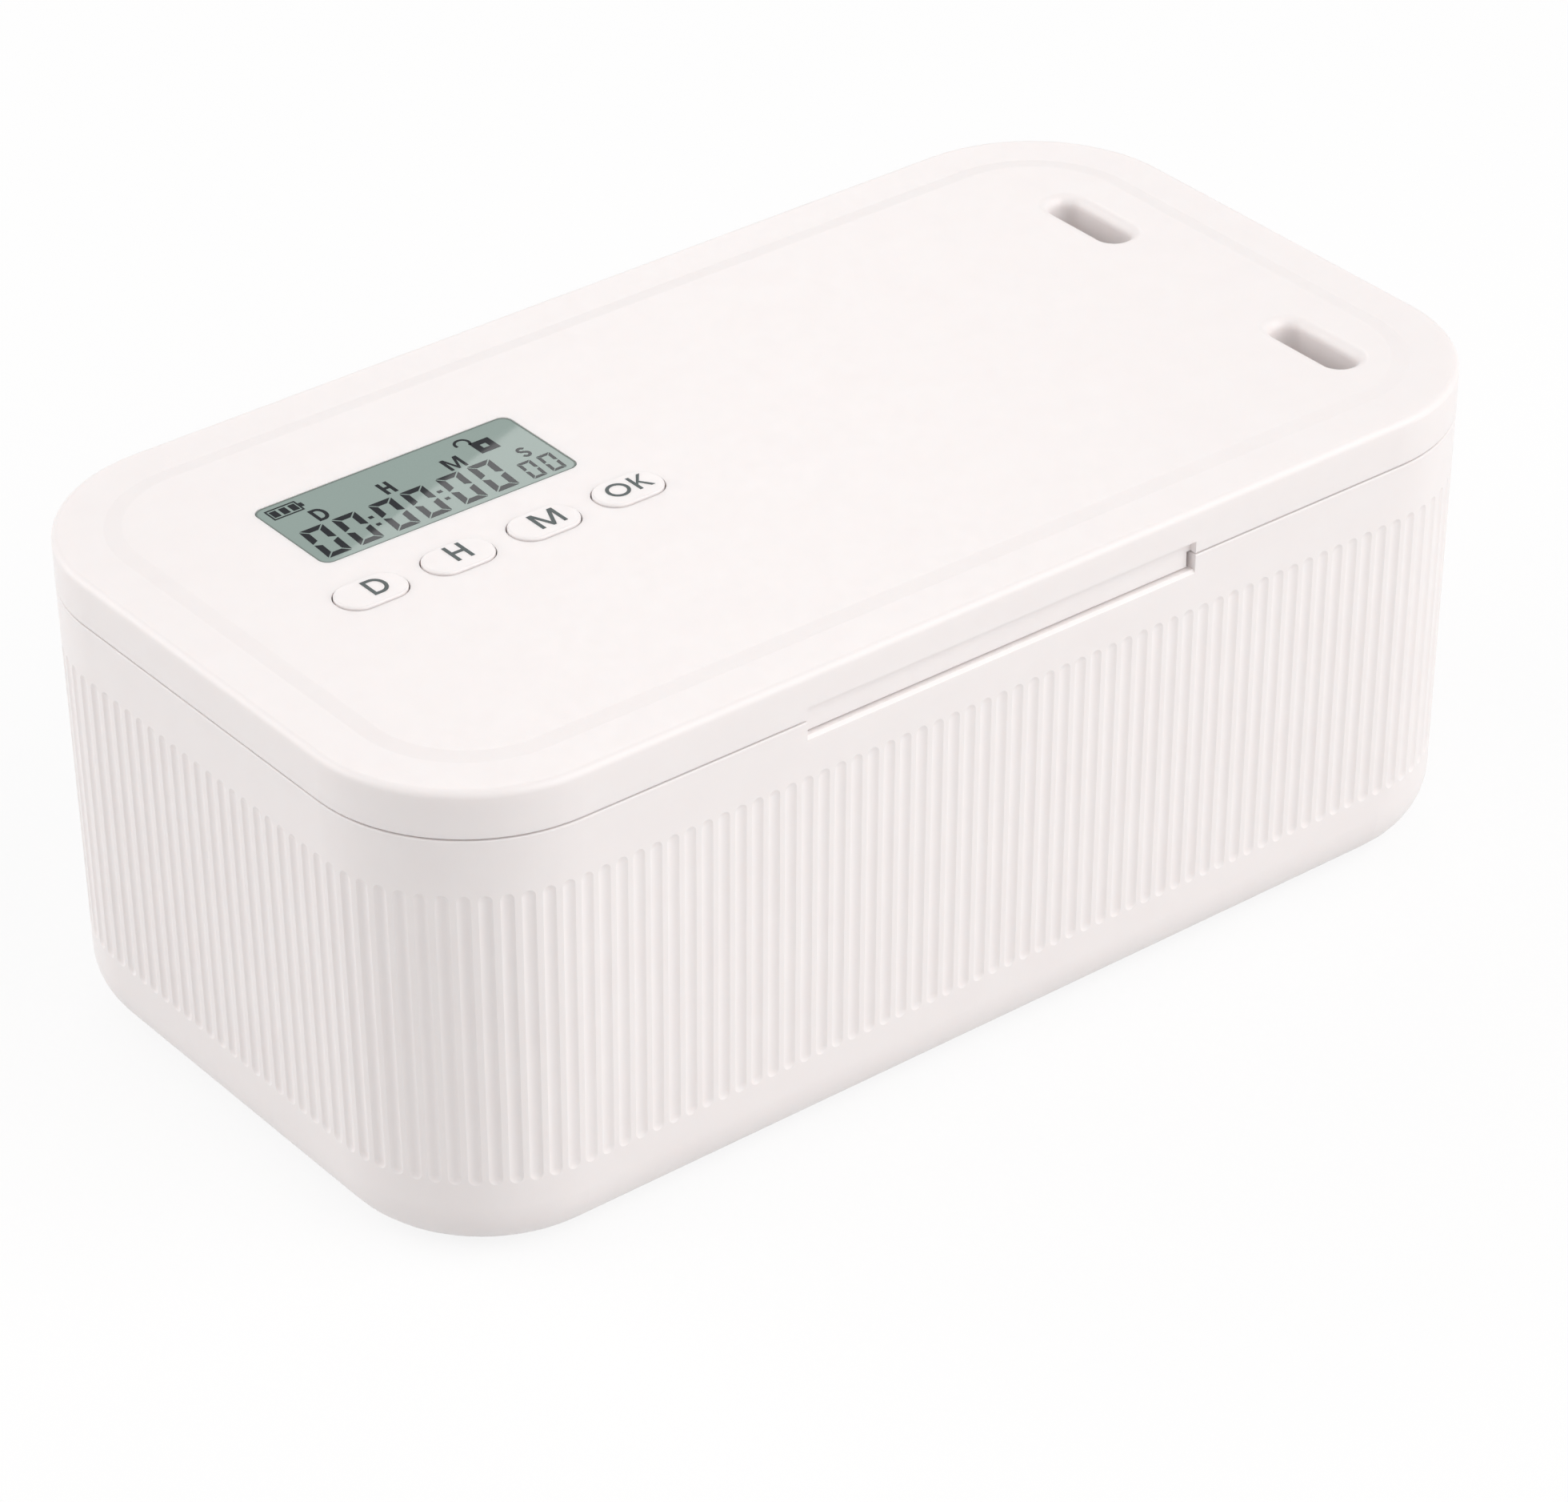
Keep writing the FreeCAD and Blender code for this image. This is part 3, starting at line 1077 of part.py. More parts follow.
def motor_gearbox():
    front = gearbox_front()
    half = GEARBOX_HEIGHT / 2.0
    case = block(PINION_X - GEARBOX_WIDTH / 2.0, PINION_X + GEARBOX_WIDTH / 2.0,
                 front - GEARBOX_LENGTH, front, PINION_Z - half, PINION_Z + half)
    return case.cut(rod_y(PINION_X, front - SHAFT_SEAT, front + 1, PINION_Z, SHAFT_R + SHAFT_GAP))


def motor_rear():
    return gearbox_front() - GEARBOX_LENGTH - MOTOR_LENGTH


def motor_can():
    """Round can with two flats, and the rear cap."""
    rear = motor_rear()
    half = GEARBOX_HEIGHT / 2.0
    can = rod_y(PINION_X, rear, rear + MOTOR_LENGTH, PINION_Z, MOTOR_R)
    can = can.common(block(PINION_X - MOTOR_R, PINION_X + MOTOR_R, rear, rear + MOTOR_LENGTH,
                           PINION_Z - half, PINION_Z + half))
    return can.fuse(rod_y(PINION_X, rear - MOTOR_CAP, rear, PINION_Z, MOTOR_CAP_R))


def cradle_half():
    return GEARBOX_WIDTH / 2.0 + CHASSIS_GAP


def ear_places():
    reach = cradle_half() + CHASSIS_WALL + EAR_R
    return [(PINION_X + side * reach, gearbox_front() - GEARBOX_LENGTH / 2.0)
            for side in (-1, 1)]


def latch_chassis():
    """Cradle for the gear motor, with a bearing for the shaft's end and a roof over the rack."""
    inner, outer = cradle_half(), cradle_half() + CHASSIS_WALL
    front = gearbox_front() + CHASSIS_GAP
    body = block(PINION_X - outer, PINION_X + outer, motor_rear(), front, BASE_FLOOR_Z,
                 EAR_Z + EAR_THICK)
    (low_x, ear_y), (high_x, _) = ear_places()
    body = body.fuse(rounded_block(PINION_X, ear_y, high_x - low_x + 2 * EAR_R, 2 * EAR_R,
                                   EAR_R - 0.3, EAR_Z, EAR_Z + EAR_THICK))
    for x, y in ear_places():
        body = body.cut(rod(x, y, EAR_Z - 1, EAR_Z + EAR_THICK + 1, SMALL_SCREW_R + THREAD_GAP))
    body = body.cut(block(PINION_X - inner, PINION_X + inner, motor_rear() - 1, front,
                          PINION_Z - GEARBOX_HEIGHT / 2.0, HEIGHT))
    plate = block(PINION_X - outer, PINION_X + outer, front, front + CHASSIS_WALL, BASE_FLOOR_Z,
                  ROOF_Z + CHASSIS_WALL)
    plate = plate.cut(rod_y(PINION_X, front - 1, front + CHASSIS_WALL + 1, PINION_Z,
                            SHAFT_R + CHASSIS_GAP))
    roof = block(PINION_X - ROOF_REACH, PINION_X + outer, front, RACK_HIGH_Y, ROOF_Z,
                 ROOF_Z + CHASSIS_WALL)
    return body.fuse(plate).fuse(roof).fuse(shaft_bearing(front, inner, outer)).removeSplitter()


def shaft_bearing(front, inner, outer):
    """Plate beyond the pinion that carries the shaft's end, on an arm between the two racks."""
    low_z, top_z = BAR_TIP_Z + SLIDE_GAP, RACK_TIP_Z - SLIDE_GAP
    plate = block(PINION_X - SHAFT_R * 2.0, PINION_X + outer, BEARING_Y, BEARING_Y + CHASSIS_WALL,
                  low_z, top_z)
    arm = block(PINION_X + inner, PINION_X + outer, front, BEARING_Y + CHASSIS_WALL, low_z, top_z)
    return plate.fuse(arm).cut(rod_y(PINION_X, BEARING_Y - 1, BEARING_Y + CHASSIS_WALL + 1,
                                     PINION_Z, SHAFT_R + SHAFT_GAP))


def motor_strap():
    """Bent strip over the gearbox, with a foot on each chassis ear."""
    foot_z = EAR_Z + EAR_THICK
    top_z = PINION_Z + GEARBOX_HEIGHT / 2.0
    half = GEARBOX_WIDTH / 2.0
    ear_y = gearbox_front() - GEARBOX_LENGTH / 2.0
    y0, y1 = ear_y - STRAP_WIDTH / 2.0, ear_y + STRAP_WIDTH / 2.0
    strap = block(PINION_X - half - STRAP_THICK, PINION_X + half + STRAP_THICK, y0, y1, top_z,
                  top_z + STRAP_THICK)
    for (x, y), side in zip(ear_places(), (-1, 1)):
        inner = PINION_X + side * half
        leg = sorted((inner, inner + side * STRAP_THICK))
        strap = strap.fuse(block(leg[0], leg[1], y0, y1, foot_z, top_z + STRAP_THICK))
        foot = sorted((inner, x + side * EAR_R))
        strap = strap.fuse(block(foot[0], foot[1], y0, y1, foot_z, foot_z + STRAP_THICK))
        strap = strap.cut(rod(x, y, foot_z - 1, foot_z + STRAP_THICK + 1,
                              SMALL_SCREW_R + THREAD_GAP))
    return strap.removeSplitter()


def chassis_screws():
    seat = EAR_Z + EAR_THICK + STRAP_THICK
    return Part.makeCompound([small_screw(x, y, seat, CHASSIS_SCREW_LENGTH, False)
                              for x, y in ear_places()])


def bolt_sensor():
    """Slotted sensor on the base floor; the near bolt's flag runs in its slot."""
    x0 = RISER_X + BOLT_RISER + SLIDE_GAP
    y = BOLT_WIDTH / 2.0 - FLAG_THICK / 2.0
    body = block(x0, x0 + SENSOR_LENGTH, y - SENSOR_WIDTH / 2.0, y + SENSOR_WIDTH / 2.0,
                 BASE_FLOOR_Z, BOLT_LOW_Z + SENSOR_HEIGHT)
    return body.cut(block(x0 - 1, x0 + SENSOR_LENGTH + 1, y - SENSOR_SLOT / 2.0,
                          y + SENSOR_SLOT / 2.0, BOLT_LOW_Z - SLIDE_GAP, HEIGHT))


# ---- power -------------------------------------------------------------------------------------

def battery_pad():
    half_x, half_y = CELL_LENGTH / 2.0 - PAD_EDGE, CELL_WIDTH / 2.0 - PAD_EDGE
    return block(CELL_X - half_x, CELL_X + half_x, CELL_Y - half_y, CELL_Y + half_y,
                 CEILING_Z - PAD_THICK, CEILING_Z)


def battery_cell():
    top = CEILING_Z - PAD_THICK
    cell = block(CELL_X - CELL_LENGTH / 2.0, CELL_X + CELL_LENGTH / 2.0,
                 CELL_Y - CELL_WIDTH / 2.0, CELL_Y + CELL_WIDTH / 2.0, top - CELL_THICK, top)
    along = [edge for edge in cell.Edges if edge.BoundBox.YLength > CELL_WIDTH - 1e-6]
    return cell.makeFillet(CELL_R, along)


def charge_port():
    """Metal socket shell with its tongue, mouth to the rear."""
    shell = port_hole(PORT_INSET, PORT_INSET + PORT_LENGTH, 0)
    shell = shell.cut(port_hole(PORT_INSET - 1, PORT_INSET + PORT_LENGTH - PORT_BACK, -PORT_WALL))
    z = port_z()
    half = PORT_WIDTH / 2.0 - PORT_TONGUE_INSET
    tongue = block(DISPLAY_X - half, DISPLAY_X + half,
                   wall_y(z, PORT_INSET + PORT_LENGTH - PORT_WALL), wall_y(z, PORT_INSET + PORT_BACK),
                   z - PORT_TONGUE / 2.0, z + PORT_TONGUE / 2.0)
    return shell.fuse(tongue).removeSplitter()


def charge_board():
    z = port_board_z()
    board = block(DISPLAY_X - PORT_BOARD_LENGTH / 2.0, DISPLAY_X + PORT_BOARD_LENGTH / 2.0,
                  port_board_rear() - PORT_BOARD_DEPTH, port_board_rear(), z - PORT_BOARD_THICK, z)
    for x, y in port_screws():
        board = board.cut(rod(x, y, z - PORT_BOARD_THICK - 1, z + 1, SMALL_SCREW_R + THREAD_GAP))
    return board


def charge_screws():
    return Part.makeCompound([small_screw(x, y, port_board_z() - PORT_BOARD_THICK,
                                          PORT_SCREW_LENGTH, True)
                              for x, y in port_screws()])


def beside(route, shift):
    """The route moved sideways in plan by a constant distance."""
    moved = []
    for n, point in enumerate(route):
        normals = []
        for first, last in ((n - 1, n), (n, n + 1)):
            if first >= 0 and last < len(route):
                run = route[last] - route[first]
                normals.append(vec(-run.y, run.x, 0).normalize())
        if len(normals) == 1:
            moved.append(point + normals[0] * shift)
        else:
            both = normals[0] + normals[1]
            moved.append(point + both * (shift / (1.0 + normals[0].dot(normals[1]))))
    return moved


def pair_of_leads(name, route):
    leads = [tube(beside(route, side * LEAD_PITCH / 2.0), LEAD_R) for side in (-1, 1)]
    print(name, "bend radii", [round(radius, 1) for _, radii in leads for radius in radii])
    return Part.makeCompound([lead for lead, _ in leads])


def motor_leads():
    """From the motor's rear, round the lid screw by the near end, to the board's front edge."""
    rear = motor_rear()
    high_z = PINION_Z + MOTOR_CAP_R + 2 * LEAD_R
    screw_x = NEAR_SCREWS_FROM_END - LENGTH / 2.0
    screw_y = NEAR_SCREWS_FROM_SIDE - WIDTH / 2.0
    outer = min(screw_y - LID_BOSS_R - 3 * LEAD_PITCH, rear - LEAD_BEND)
    header_x, header_y = MOTOR_HEADER
    header_z = BOARD_LOW_Z - HEADER_HEIGHT / 2.0
    front = header_y - HEADER_DEPTH / 2.0
    return pair_of_leads("motor_leads", [
        vec(PINION_X, rear, high_z), vec(PINION_X, rear - LEAD_EXIT, high_z),
        vec(PINION_X + LEAD_BEND, outer, high_z), vec(screw_x + LEAD_BEND, outer, high_z),
        vec(header_x - 1.5 * LEAD_BEND, outer + 2 * LEAD_BEND, (high_z + header_z) / 2.0),
        vec(header_x, front - LEAD_RUN, header_z), vec(header_x, front, header_z)])


def battery_leads():
    header_x, header_y = CELL_HEADER
    cell_x = CELL_X - CELL_LENGTH / 2.0
    cell_y = header_y + 2 * LEAD_PITCH
    cell_z = CEILING_Z - PAD_THICK - CELL_THICK / 2.0
    header_z = BOARD_LOW_Z - HEADER_HEIGHT / 2.0
    right = header_x + HEADER_SIZE / 2.0
    return pair_of_leads("battery_leads", [
        vec(cell_x, cell_y, cell_z), vec(cell_x - LEAD_EXIT, cell_y, cell_z),
        vec(right + LEAD_EXIT, header_y, header_z), vec(right, header_y, header_z)])


def charge_leads():
    header_x, header_y = PORT_HEADER
    header_z = BOARD_LOW_Z - HEADER_HEIGHT / 2.0
    rear = header_y + HEADER_DEPTH / 2.0
    edge_x = DISPLAY_X + PORT_BOARD_LENGTH / 2.0
    edge_y = port_board_rear() - PORT_BOARD_DEPTH / 2.0
    edge_z = port_board_z() - PORT_BOARD_THICK / 2.0
    return pair_of_leads("charge_leads", [
        vec(edge_x, edge_y, edge_z), vec(edge_x + LEAD_EXIT, edge_y, edge_z),
        vec(header_x - LEAD_PITCH, edge_y - 2 * LEAD_PITCH, (edge_z + header_z) / 2.0),
        vec(header_x, rear + LEAD_EXIT, header_z), vec(header_x, rear, header_z)])


# ---- all the nodes -----------------------------------------------------------------------------

NODES = {
    "box_shell": box_shell,
    "near_keeper": lambda: keeper(-1, NEAR_KEEPER_WIDTH, BOLT_LOW_Z, BOLT_TOP_Z),
    "far_keeper": lambda: keeper(1, FAR_KEEPER_WIDTH, BAR_LOW_Z, FAR_BOLT_TOP_Z),
    "keeper_screws": keeper_screws,
    "lid_cover": lid_cover,
    "lid_base": lid_base,
    "lid_screws": lid_screws,
    "display_window": display_window,
    "display_panel": lambda: glass_block(0, GLASS_TOP_Z - GLASS_THICK, GLASS_TOP_Z),
    "display_frame": display_frame,
    "display_contacts": lambda: Part.makeCompound(contact_blocks(0)),
    "main_board": main_board,
    "board_parts": board_parts,
    "board_screws": board_screws,
    "tact_switches": tact_switches,
    "near_bolt": near_bolt,
    "far_bolt": far_bolt,
    "drive_pinion": drive_pinion,
    "output_shaft": output_shaft,
    "motor_gearbox": motor_gearbox,
    "motor_can": motor_can,
    "latch_chassis": latch_chassis,
    "motor_strap": motor_strap,
    "chassis_screws": chassis_screws,
    "bolt_sensor": bolt_sensor,
    "battery_cell": battery_cell,
    "battery_pad": battery_pad,
    "charge_port": charge_port,
    "charge_board": charge_board,
    "charge_screws": charge_screws,
    "motor_leads": motor_leads,
    "battery_leads": battery_leads,
    "charge_leads": charge_leads,
}


def main():
    os.makedirs("parts", exist_ok=True)
    shapes = {name: make() for name, make in NODES.items()}
    for name, x in button_places():
        shapes["button_" + name] = button(x)
        shapes["plunger_" + name] = plunger(x)
    for name, shape in shapes.items():
        shape.exportStep("parts/" + name + ".step")
        print(name, "valid" if shape.isValid() else "NOT VALID", len(shape.Solids), "solids",
              round(shape.Volume, 1), "mm3")


main()
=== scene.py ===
"""Timed lock container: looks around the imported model."""
import math

import bmesh
import bpy
from mathutils import Matrix, Vector


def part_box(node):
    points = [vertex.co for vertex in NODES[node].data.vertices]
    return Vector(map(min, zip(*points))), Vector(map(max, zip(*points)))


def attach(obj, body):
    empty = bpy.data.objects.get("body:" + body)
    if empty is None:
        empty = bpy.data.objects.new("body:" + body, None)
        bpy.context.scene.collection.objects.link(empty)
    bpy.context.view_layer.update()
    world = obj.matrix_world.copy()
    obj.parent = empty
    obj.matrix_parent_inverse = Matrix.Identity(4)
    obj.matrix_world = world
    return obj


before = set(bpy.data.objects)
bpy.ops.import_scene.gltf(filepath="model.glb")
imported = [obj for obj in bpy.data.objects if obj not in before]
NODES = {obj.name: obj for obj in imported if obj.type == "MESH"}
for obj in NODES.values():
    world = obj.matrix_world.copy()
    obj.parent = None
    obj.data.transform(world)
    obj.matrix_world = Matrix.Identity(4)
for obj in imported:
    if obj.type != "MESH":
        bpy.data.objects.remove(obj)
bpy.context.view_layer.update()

MM = 0.001                # metres in a millimetre

# camera, from the photograph's perspective: place and axes in metres, lens in millimetres
CAMERA_AT = (-0.5318, -0.6813, 0.5825)
CAMERA_BACK = (-0.51924, -0.66240, 0.54002)
CAMERA_RIGHT = (0.78456, -0.62002, -0.00617)
CAMERA_UP = (0.33891, 0.42048, 0.84163)
CAMERA_LENS = 138.16
CAMERA_SENSOR = 36.0
CAMERA_REACH = (0.01, 30.0)

# floor and world
FLOOR_REACH = 4.0         # metres from the middle to each edge
FLOOR_GREY = 0.70
FLOOR_ROUGHNESS = 0.9
FLOOR_WHITE = 1.08        # what the camera sees in place of the grey
FLOOR_COVER = 0.78        # share of that white, the rest keeps the object's shadow
WORLD_TINT = (1.0, 0.985, 0.98, 1.0)
WORLD_STRENGTH = 0.57
PURE_WHITE = (1.0, 1.0, 1.0, 1.0)

# lamps: place and size in metres, then radiance
LAMP_TINT = (1.0, 0.99, 0.985)
LAMP_TARGET = (0.0, 0.0, 0.05)
SOFT_BOXES = {
    "softbox_front": ((0.755, -1.31, 1.07), (1.9, 1.9), 1.81),
    "softbox_left": ((-1.12, 1.05, 0.72), (1.55, 1.55), 1.69),
}

# level panel over and behind the object, metres from the display's middle
PANEL_TURN = math.radians(19.0)
PANEL_EDGE = 1.5065       # of its rear edge
PANEL_RISE = 0.9708       # height over the glass, as a share of that
PANEL_ALONG = 2.0         # of its middle
PANEL_LENGTH = 1.0
PANEL_WIDTH = 0.5
PANEL_RADIANCE = 2.9

# box and lid plastic
GLOW = 0.4                # share of light that scatters under the skin
GLOW_REACH = 1.5          # mm
GLOW_RADIUS = (1.0, 0.9, 0.85)
WAVE_LENGTH = 14.0        # mm, of the waviness of a thick moulded wall
WAVINESS = 0.02           # mm

# circuit board and liquid-crystal glass
TRACKS_PER_METRE = 260.0
TRACK_WIDTH = 0.03
TRACK_RELIEF = 0.02       # mm
DOT_PITCH = 0.12          # mm, of the display's reflector
GLASS_IOR = 1.25
SEGMENT_IOR = 1.22
GLASS_ROUGHNESS = (0.012, 0.02)

# printing on the button caps, mm
INK = 0.03                # thickness
LETTER_STROKE = 0.15      # share of the height
LETTER_GAP = 0.2          # between letters, share of the height
KEY_LETTERS = {           # text, height, and how far its middle lies from the cap's
    "d": ("D", 4.65, 1.4, 0.4), "h": ("H", 4.85, 0.55, 0.8),
    "m": ("M", 4.75, 0.85, 0.35), "ok": ("OK", 4.25, 0.2, 0.4),
}

# figures of the display, mm
DIGIT = (4.55, 9.65, 1.22, 0.2)     # width, height, stroke, gap at a segment's end
SMALL = (2.7, 5.6, 0.62, 0.12)      # the same for the seconds
SLANT = 0.07
DIGIT_Y = 13.25
SMALL_Y = 12.95
DIGIT_XS = (-79.35, -73.05, -65.85, -59.65, -52.45, -46.15)
SMALL_XS = (-38.9, -34.95)
COLONS = ((-66.8, 19.55), (-67.05, 17.0), (-53.35, 19.3), (-53.6, 16.75))
COLON_DOT = (0.84, 0.75)            # length and height
LABELS = (                          # name, sign, middle, height, stroke as a share of it
    ("days", "D", -72.6, 25.6, 3.85, 0.17), ("hours", "H", -59.4, 25.7, 3.8, 0.18),
    ("minutes", "M", -46.2, 25.4, 3.8, 0.16), ("secs", "S", -35.1, 21.15, 3.1, 0.18),
)
LABEL_WIDE = 0.84                   # width of a label's letters, as a share of the caps'
BATTERY_CASE = (-79.3, 28.6, -73.7, 31.6)
BATTERY_LINE = 0.3
BATTERY_TIP = ((-73.2, 29.5), (-73.2, 30.7), 0.6)
BATTERY_BARS = (-78.3, -76.5, -74.7)
BATTERY_BAR = (29.1, 31.1, 1.25)    # from, to, width
PADLOCK_BODY = (-40.0, 25.7, -37.5, 28.3)
PADLOCK_LINE = 1.3
SHACKLE_AT = (-41.4, 29.7)
SHACKLE_R = 1.3
SHACKLE_TURN = (-50, 200)           # degrees
SHACKLE_LINE = 0.5
EDGE_SHADE_WIDTH = 0.24                       # painted shade: dark line along the glass's edge, for the shadow in the gap round it
EDGE_SHADE_RADIUS = 1.9


# ---------------------------------------------------------------- colours

def linear(red, green, blue):
    """Scene-linear colour of an sRGB colour given in 0 to 255."""
    def channel(value):
        value /= 255.0
        return value / 12.92 if value <= 0.04045 else ((value + 0.055) / 1.055) ** 2.4
    return (channel(red), channel(green), channel(blue), 1.0)


def scaled(colour, factor):
    """Colour made lighter or darker."""
    return tuple(min(1.0, part * factor) for part in colour[:3]) + (1.0,)


# ---------------------------------------------------------------- materials

class Shade:
    """One procedural material with a Principled shader."""

    def __init__(self, name):
        self.material = bpy.data.materials.new(name)
        self.material.use_nodes = True
        self.tree = self.material.node_tree
        self.shader = self.tree.nodes["Principled BSDF"]
        self.place = self.add("ShaderNodeTexCoord").outputs["Object"]

    def add(self, kind, **values):
        """New node with those settings."""
        node = self.tree.nodes.new(kind)
        for key, value in values.items():
            setattr(node, key, value)
        return node

    def join(self, source, target):
        self.tree.links.new(source, target)

    def stretched(self, scale):
        """Object coordinates scaled along each axis."""
        mapping = self.add("ShaderNodeMapping")
        mapping.inputs["Scale"].default_value = scale
        self.join(self.place, mapping.inputs["Vector"])
        return mapping.outputs["Vector"]

    def noise(self, size, detail=3.0, place=None):
        """Noise with features of about that size in millimetres."""
        node = self.add("ShaderNodeTexNoise")
        node.inputs["Scale"].default_value = 1.0 / (size * MM)
        node.inputs["Detail"].default_value = detail
        self.join(place or self.place, node.inputs["Vector"])
        return node.outputs["Fac"]

    def ranged(self, source, low, high, start=0.3, stop=0.7):
        """Signal mapped from start and stop to low and high."""
        node = self.add("ShaderNodeMapRange")
        node.inputs["From Min"].default_value = start
        node.inputs["From Max"].default_value = stop
        node.inputs["To Min"].default_value = low
        node.inputs["To Max"].default_value = high
        self.join(source, node.inputs["Value"])
        return node.outputs["Result"]

    def blend(self, factor, first, second):
        """Mix of two colours, each a value or a socket."""
        node = self.add("ShaderNodeMix", data_type="RGBA")
        self.join(factor, node.inputs["Factor"])
        colours = {item.name: item for item in node.inputs if item.type == "RGBA"}
        for socket, value in (("A", first), ("B", second)):
            if isinstance(value, tuple):
                colours[socket].default_value = value
            else:
                self.join(value, colours[socket])
        return [item for item in node.outputs if item.type == "RGBA"][0]

    def colour(self, source):
        self.join(source, self.shader.inputs["Base Color"])

    def mottle(self, base, size, depth=0.03):
        """Base colour that drifts a little over patches of that size."""
        drift = self.ranged(self.noise(size), 0.0, 1.0)
        self.colour(self.blend(drift, scaled(base, 1.0 - depth), scaled(base, 1.0 + depth)))

    def rough(self, low, high, size):
        """Roughness that drifts between two values over patches of that size."""
        self.join(self.ranged(self.noise(size), low, high), self.shader.inputs["Roughness"])

    def bump(self, height, depth, normal):
        """Bump over a normal, from a height signal of 0 to 1 worth that many millimetres."""
        node = self.add("ShaderNodeBump")
        node.inputs["Strength"].default_value = 1.0
        node.inputs["Distance"].default_value = depth * MM
        self.join(height, node.inputs["Height"])
        if normal is not None:
            self.join(normal, node.inputs["Normal"])
        return node.outputs["Normal"]

    def relief(self, *layers):
        """Bump layers, each a pair of height signal and depth in millimetres."""
        normal = None
        for height, depth in layers:
            normal = self.bump(height, depth, normal)
        self.join(normal, self.shader.inputs["Normal"])

    def put(self, **values):
        """Values on the shader's own sockets."""
        for key, value in values.items():
            self.shader.inputs[key.replace("_", " ")].default_value = value


def moulded(name, base, low=0.30, high=0.38, grain=0.35, depth=0.006, glow=0.0):
    """Satin moulded plastic: fine spark-eroded grain over the faint waviness of a thick wall.

    low and high are its roughness, and glow the share of light that scatters under the skin."""
    shade = Shade(name)
    shade.mottle(base, size=9.0, depth=0.008)
    shade.rough(low, high, size=2.5)
    shade.relief((shade.noise(grain, detail=2.0), depth),
                 (shade.noise(WAVE_LENGTH, detail=1.0), WAVINESS))
    if glow:
        shade.put(Subsurface_Weight=glow, Subsurface_Radius=GLOW_RADIUS,
                  Subsurface_Scale=GLOW_REACH * MM)
    return shade.material


def metal(name, base, low, high, scale=(1, 1, 1), size=0.4, depth=0.002):
    """Drawn or rolled metal, with fine lines along the axis whose scale is smallest."""
    shade = Shade(name)
    lines = shade.noise(size, detail=4.0, place=shade.stretched(scale))
    drift = shade.ranged(lines, 0.0, 1.0)
    shade.colour(shade.blend(drift, scaled(base, 0.92), scaled(base, 1.06)))
    shade.join(shade.ranged(lines, low, high), shade.shader.inputs["Roughness"])
    shade.relief((lines, depth))
    shade.put(Metallic=1.0)
    return shade.material


def rubbery(name, base, size, depth):
    """Dull foam, rubber or cable sleeve with bumps of that size and depth."""
    shade = Shade(name)
    shade.mottle(base, size=size * 3, depth=0.08)
    shade.rough(0.75, 0.92, size)
    shade.relief((shade.noise(size, detail=5.0), depth))
    return shade.material


def circuit(name):
    """Green solder mask with copper tracks under it."""
    shade = Shade(name)
    mask, track = linear(22, 84, 52), linear(38, 112, 70)
    bricks = shade.add("ShaderNodeTexBrick")
    bricks.inputs["Scale"].default_value = TRACKS_PER_METRE
    bricks.inputs["Mortar Size"].default_value = TRACK_WIDTH
    bricks.inputs["Color1"].default_value = (0, 0, 0, 1)
    bricks.inputs["Color2"].default_value = (0, 0, 0, 1)
    bricks.inputs["Mortar"].default_value = PURE_WHITE
    shade.join(shade.place, bricks.inputs["Vector"])
    shade.colour(shade.blend(bricks.outputs["Color"], mask, track))
    shade.rough(0.28, 0.4, size=3.0)
    shade.relief((bricks.outputs["Color"], TRACK_RELIEF))
    return shade.material


def crystal(name):
    """Reflective liquid-crystal glass. The window over it gets the same grey-green, and on the
    window's side faces that colour is a painted reflection of the display.

    The fine dots are its reflector."""
    shade = Shade(name)
    dots = shade.add("ShaderNodeTexVoronoi")
    dots.inputs["Scale"].default_value = 1.0 / (DOT_PITCH * MM)
    shade.join(shade.place, dots.inputs["Vector"])
    speck = shade.ranged(dots.outputs["Distance"], 0.0, 1.0, start=0.1, stop=0.6)
    fine = shade.blend(speck, linear(141, 158, 152), linear(147, 164, 158))
    drift = shade.ranged(shade.noise(18.0), 0.0, 1.0)
    shade.colour(shade.blend(drift, fine, linear(145, 161, 155)))
    shade.rough(*GLASS_ROUGHNESS, size=5.0)
    shade.put(IOR=GLASS_IOR)
    return shade.material


def liquid(name):
    """Dark segments of the display, in the same glass."""
    shade = Shade(name)
    shade.mottle(linear(10, 16, 24), size=1.5, depth=0.1)
    shade.rough(*GLASS_ROUGHNESS, size=5.0)
    shade.put(IOR=SEGMENT_IOR)
    return shade.material


def ink(name, base):
    """Pad-printed ink with slightly uneven cover, also used for the painted shade line along the
    display glass's edge.
    """
    shade = Shade(name)
    shade.mottle(base, size=0.25, depth=0.1)
    shade.rough(0.4, 0.55, size=0.3)
    return shade.material


WHITE = linear(247, 241, 240)

BODY = moulded("box_plastic", WHITE, glow=GLOW)
LID = moulded("lid_plastic", WHITE, glow=GLOW)
CAP = moulded("button_plastic", WHITE, 0.28, 0.36, 0.25, 0.004, glow=GLOW)
INNER = moulded("inner_plastic", linear(236, 234, 232), 0.45, 0.6)
ACETAL = moulded("acetal", linear(222, 222, 216), 0.3, 0.4, 0.5, 0.003)
BLACK = moulded("black_plastic", linear(30, 31, 33), 0.4, 0.55)
ZINC = metal("zinc_plate", linear(196, 198, 200), 0.25, 0.42)
STEEL = metal("drawn_steel", linear(176, 178, 180), 0.2, 0.36, (0.08, 1, 1))
NICKEL = metal("nickel_can", linear(188, 186, 180), 0.18, 0.32, (1, 0.08, 1))
BRASS = metal("brass", linear(204, 172, 104), 0.24, 0.4)
POUCH = metal("foil_pouch", linear(190, 192, 194), 0.34, 0.5, (1, 1, 1), 3.0, 0.05)
FOAM = rubbery("foam", linear(62, 62, 64), 0.4, 0.15)
SILICONE = rubbery("silicone", linear(206, 168, 160), 0.2, 0.02)
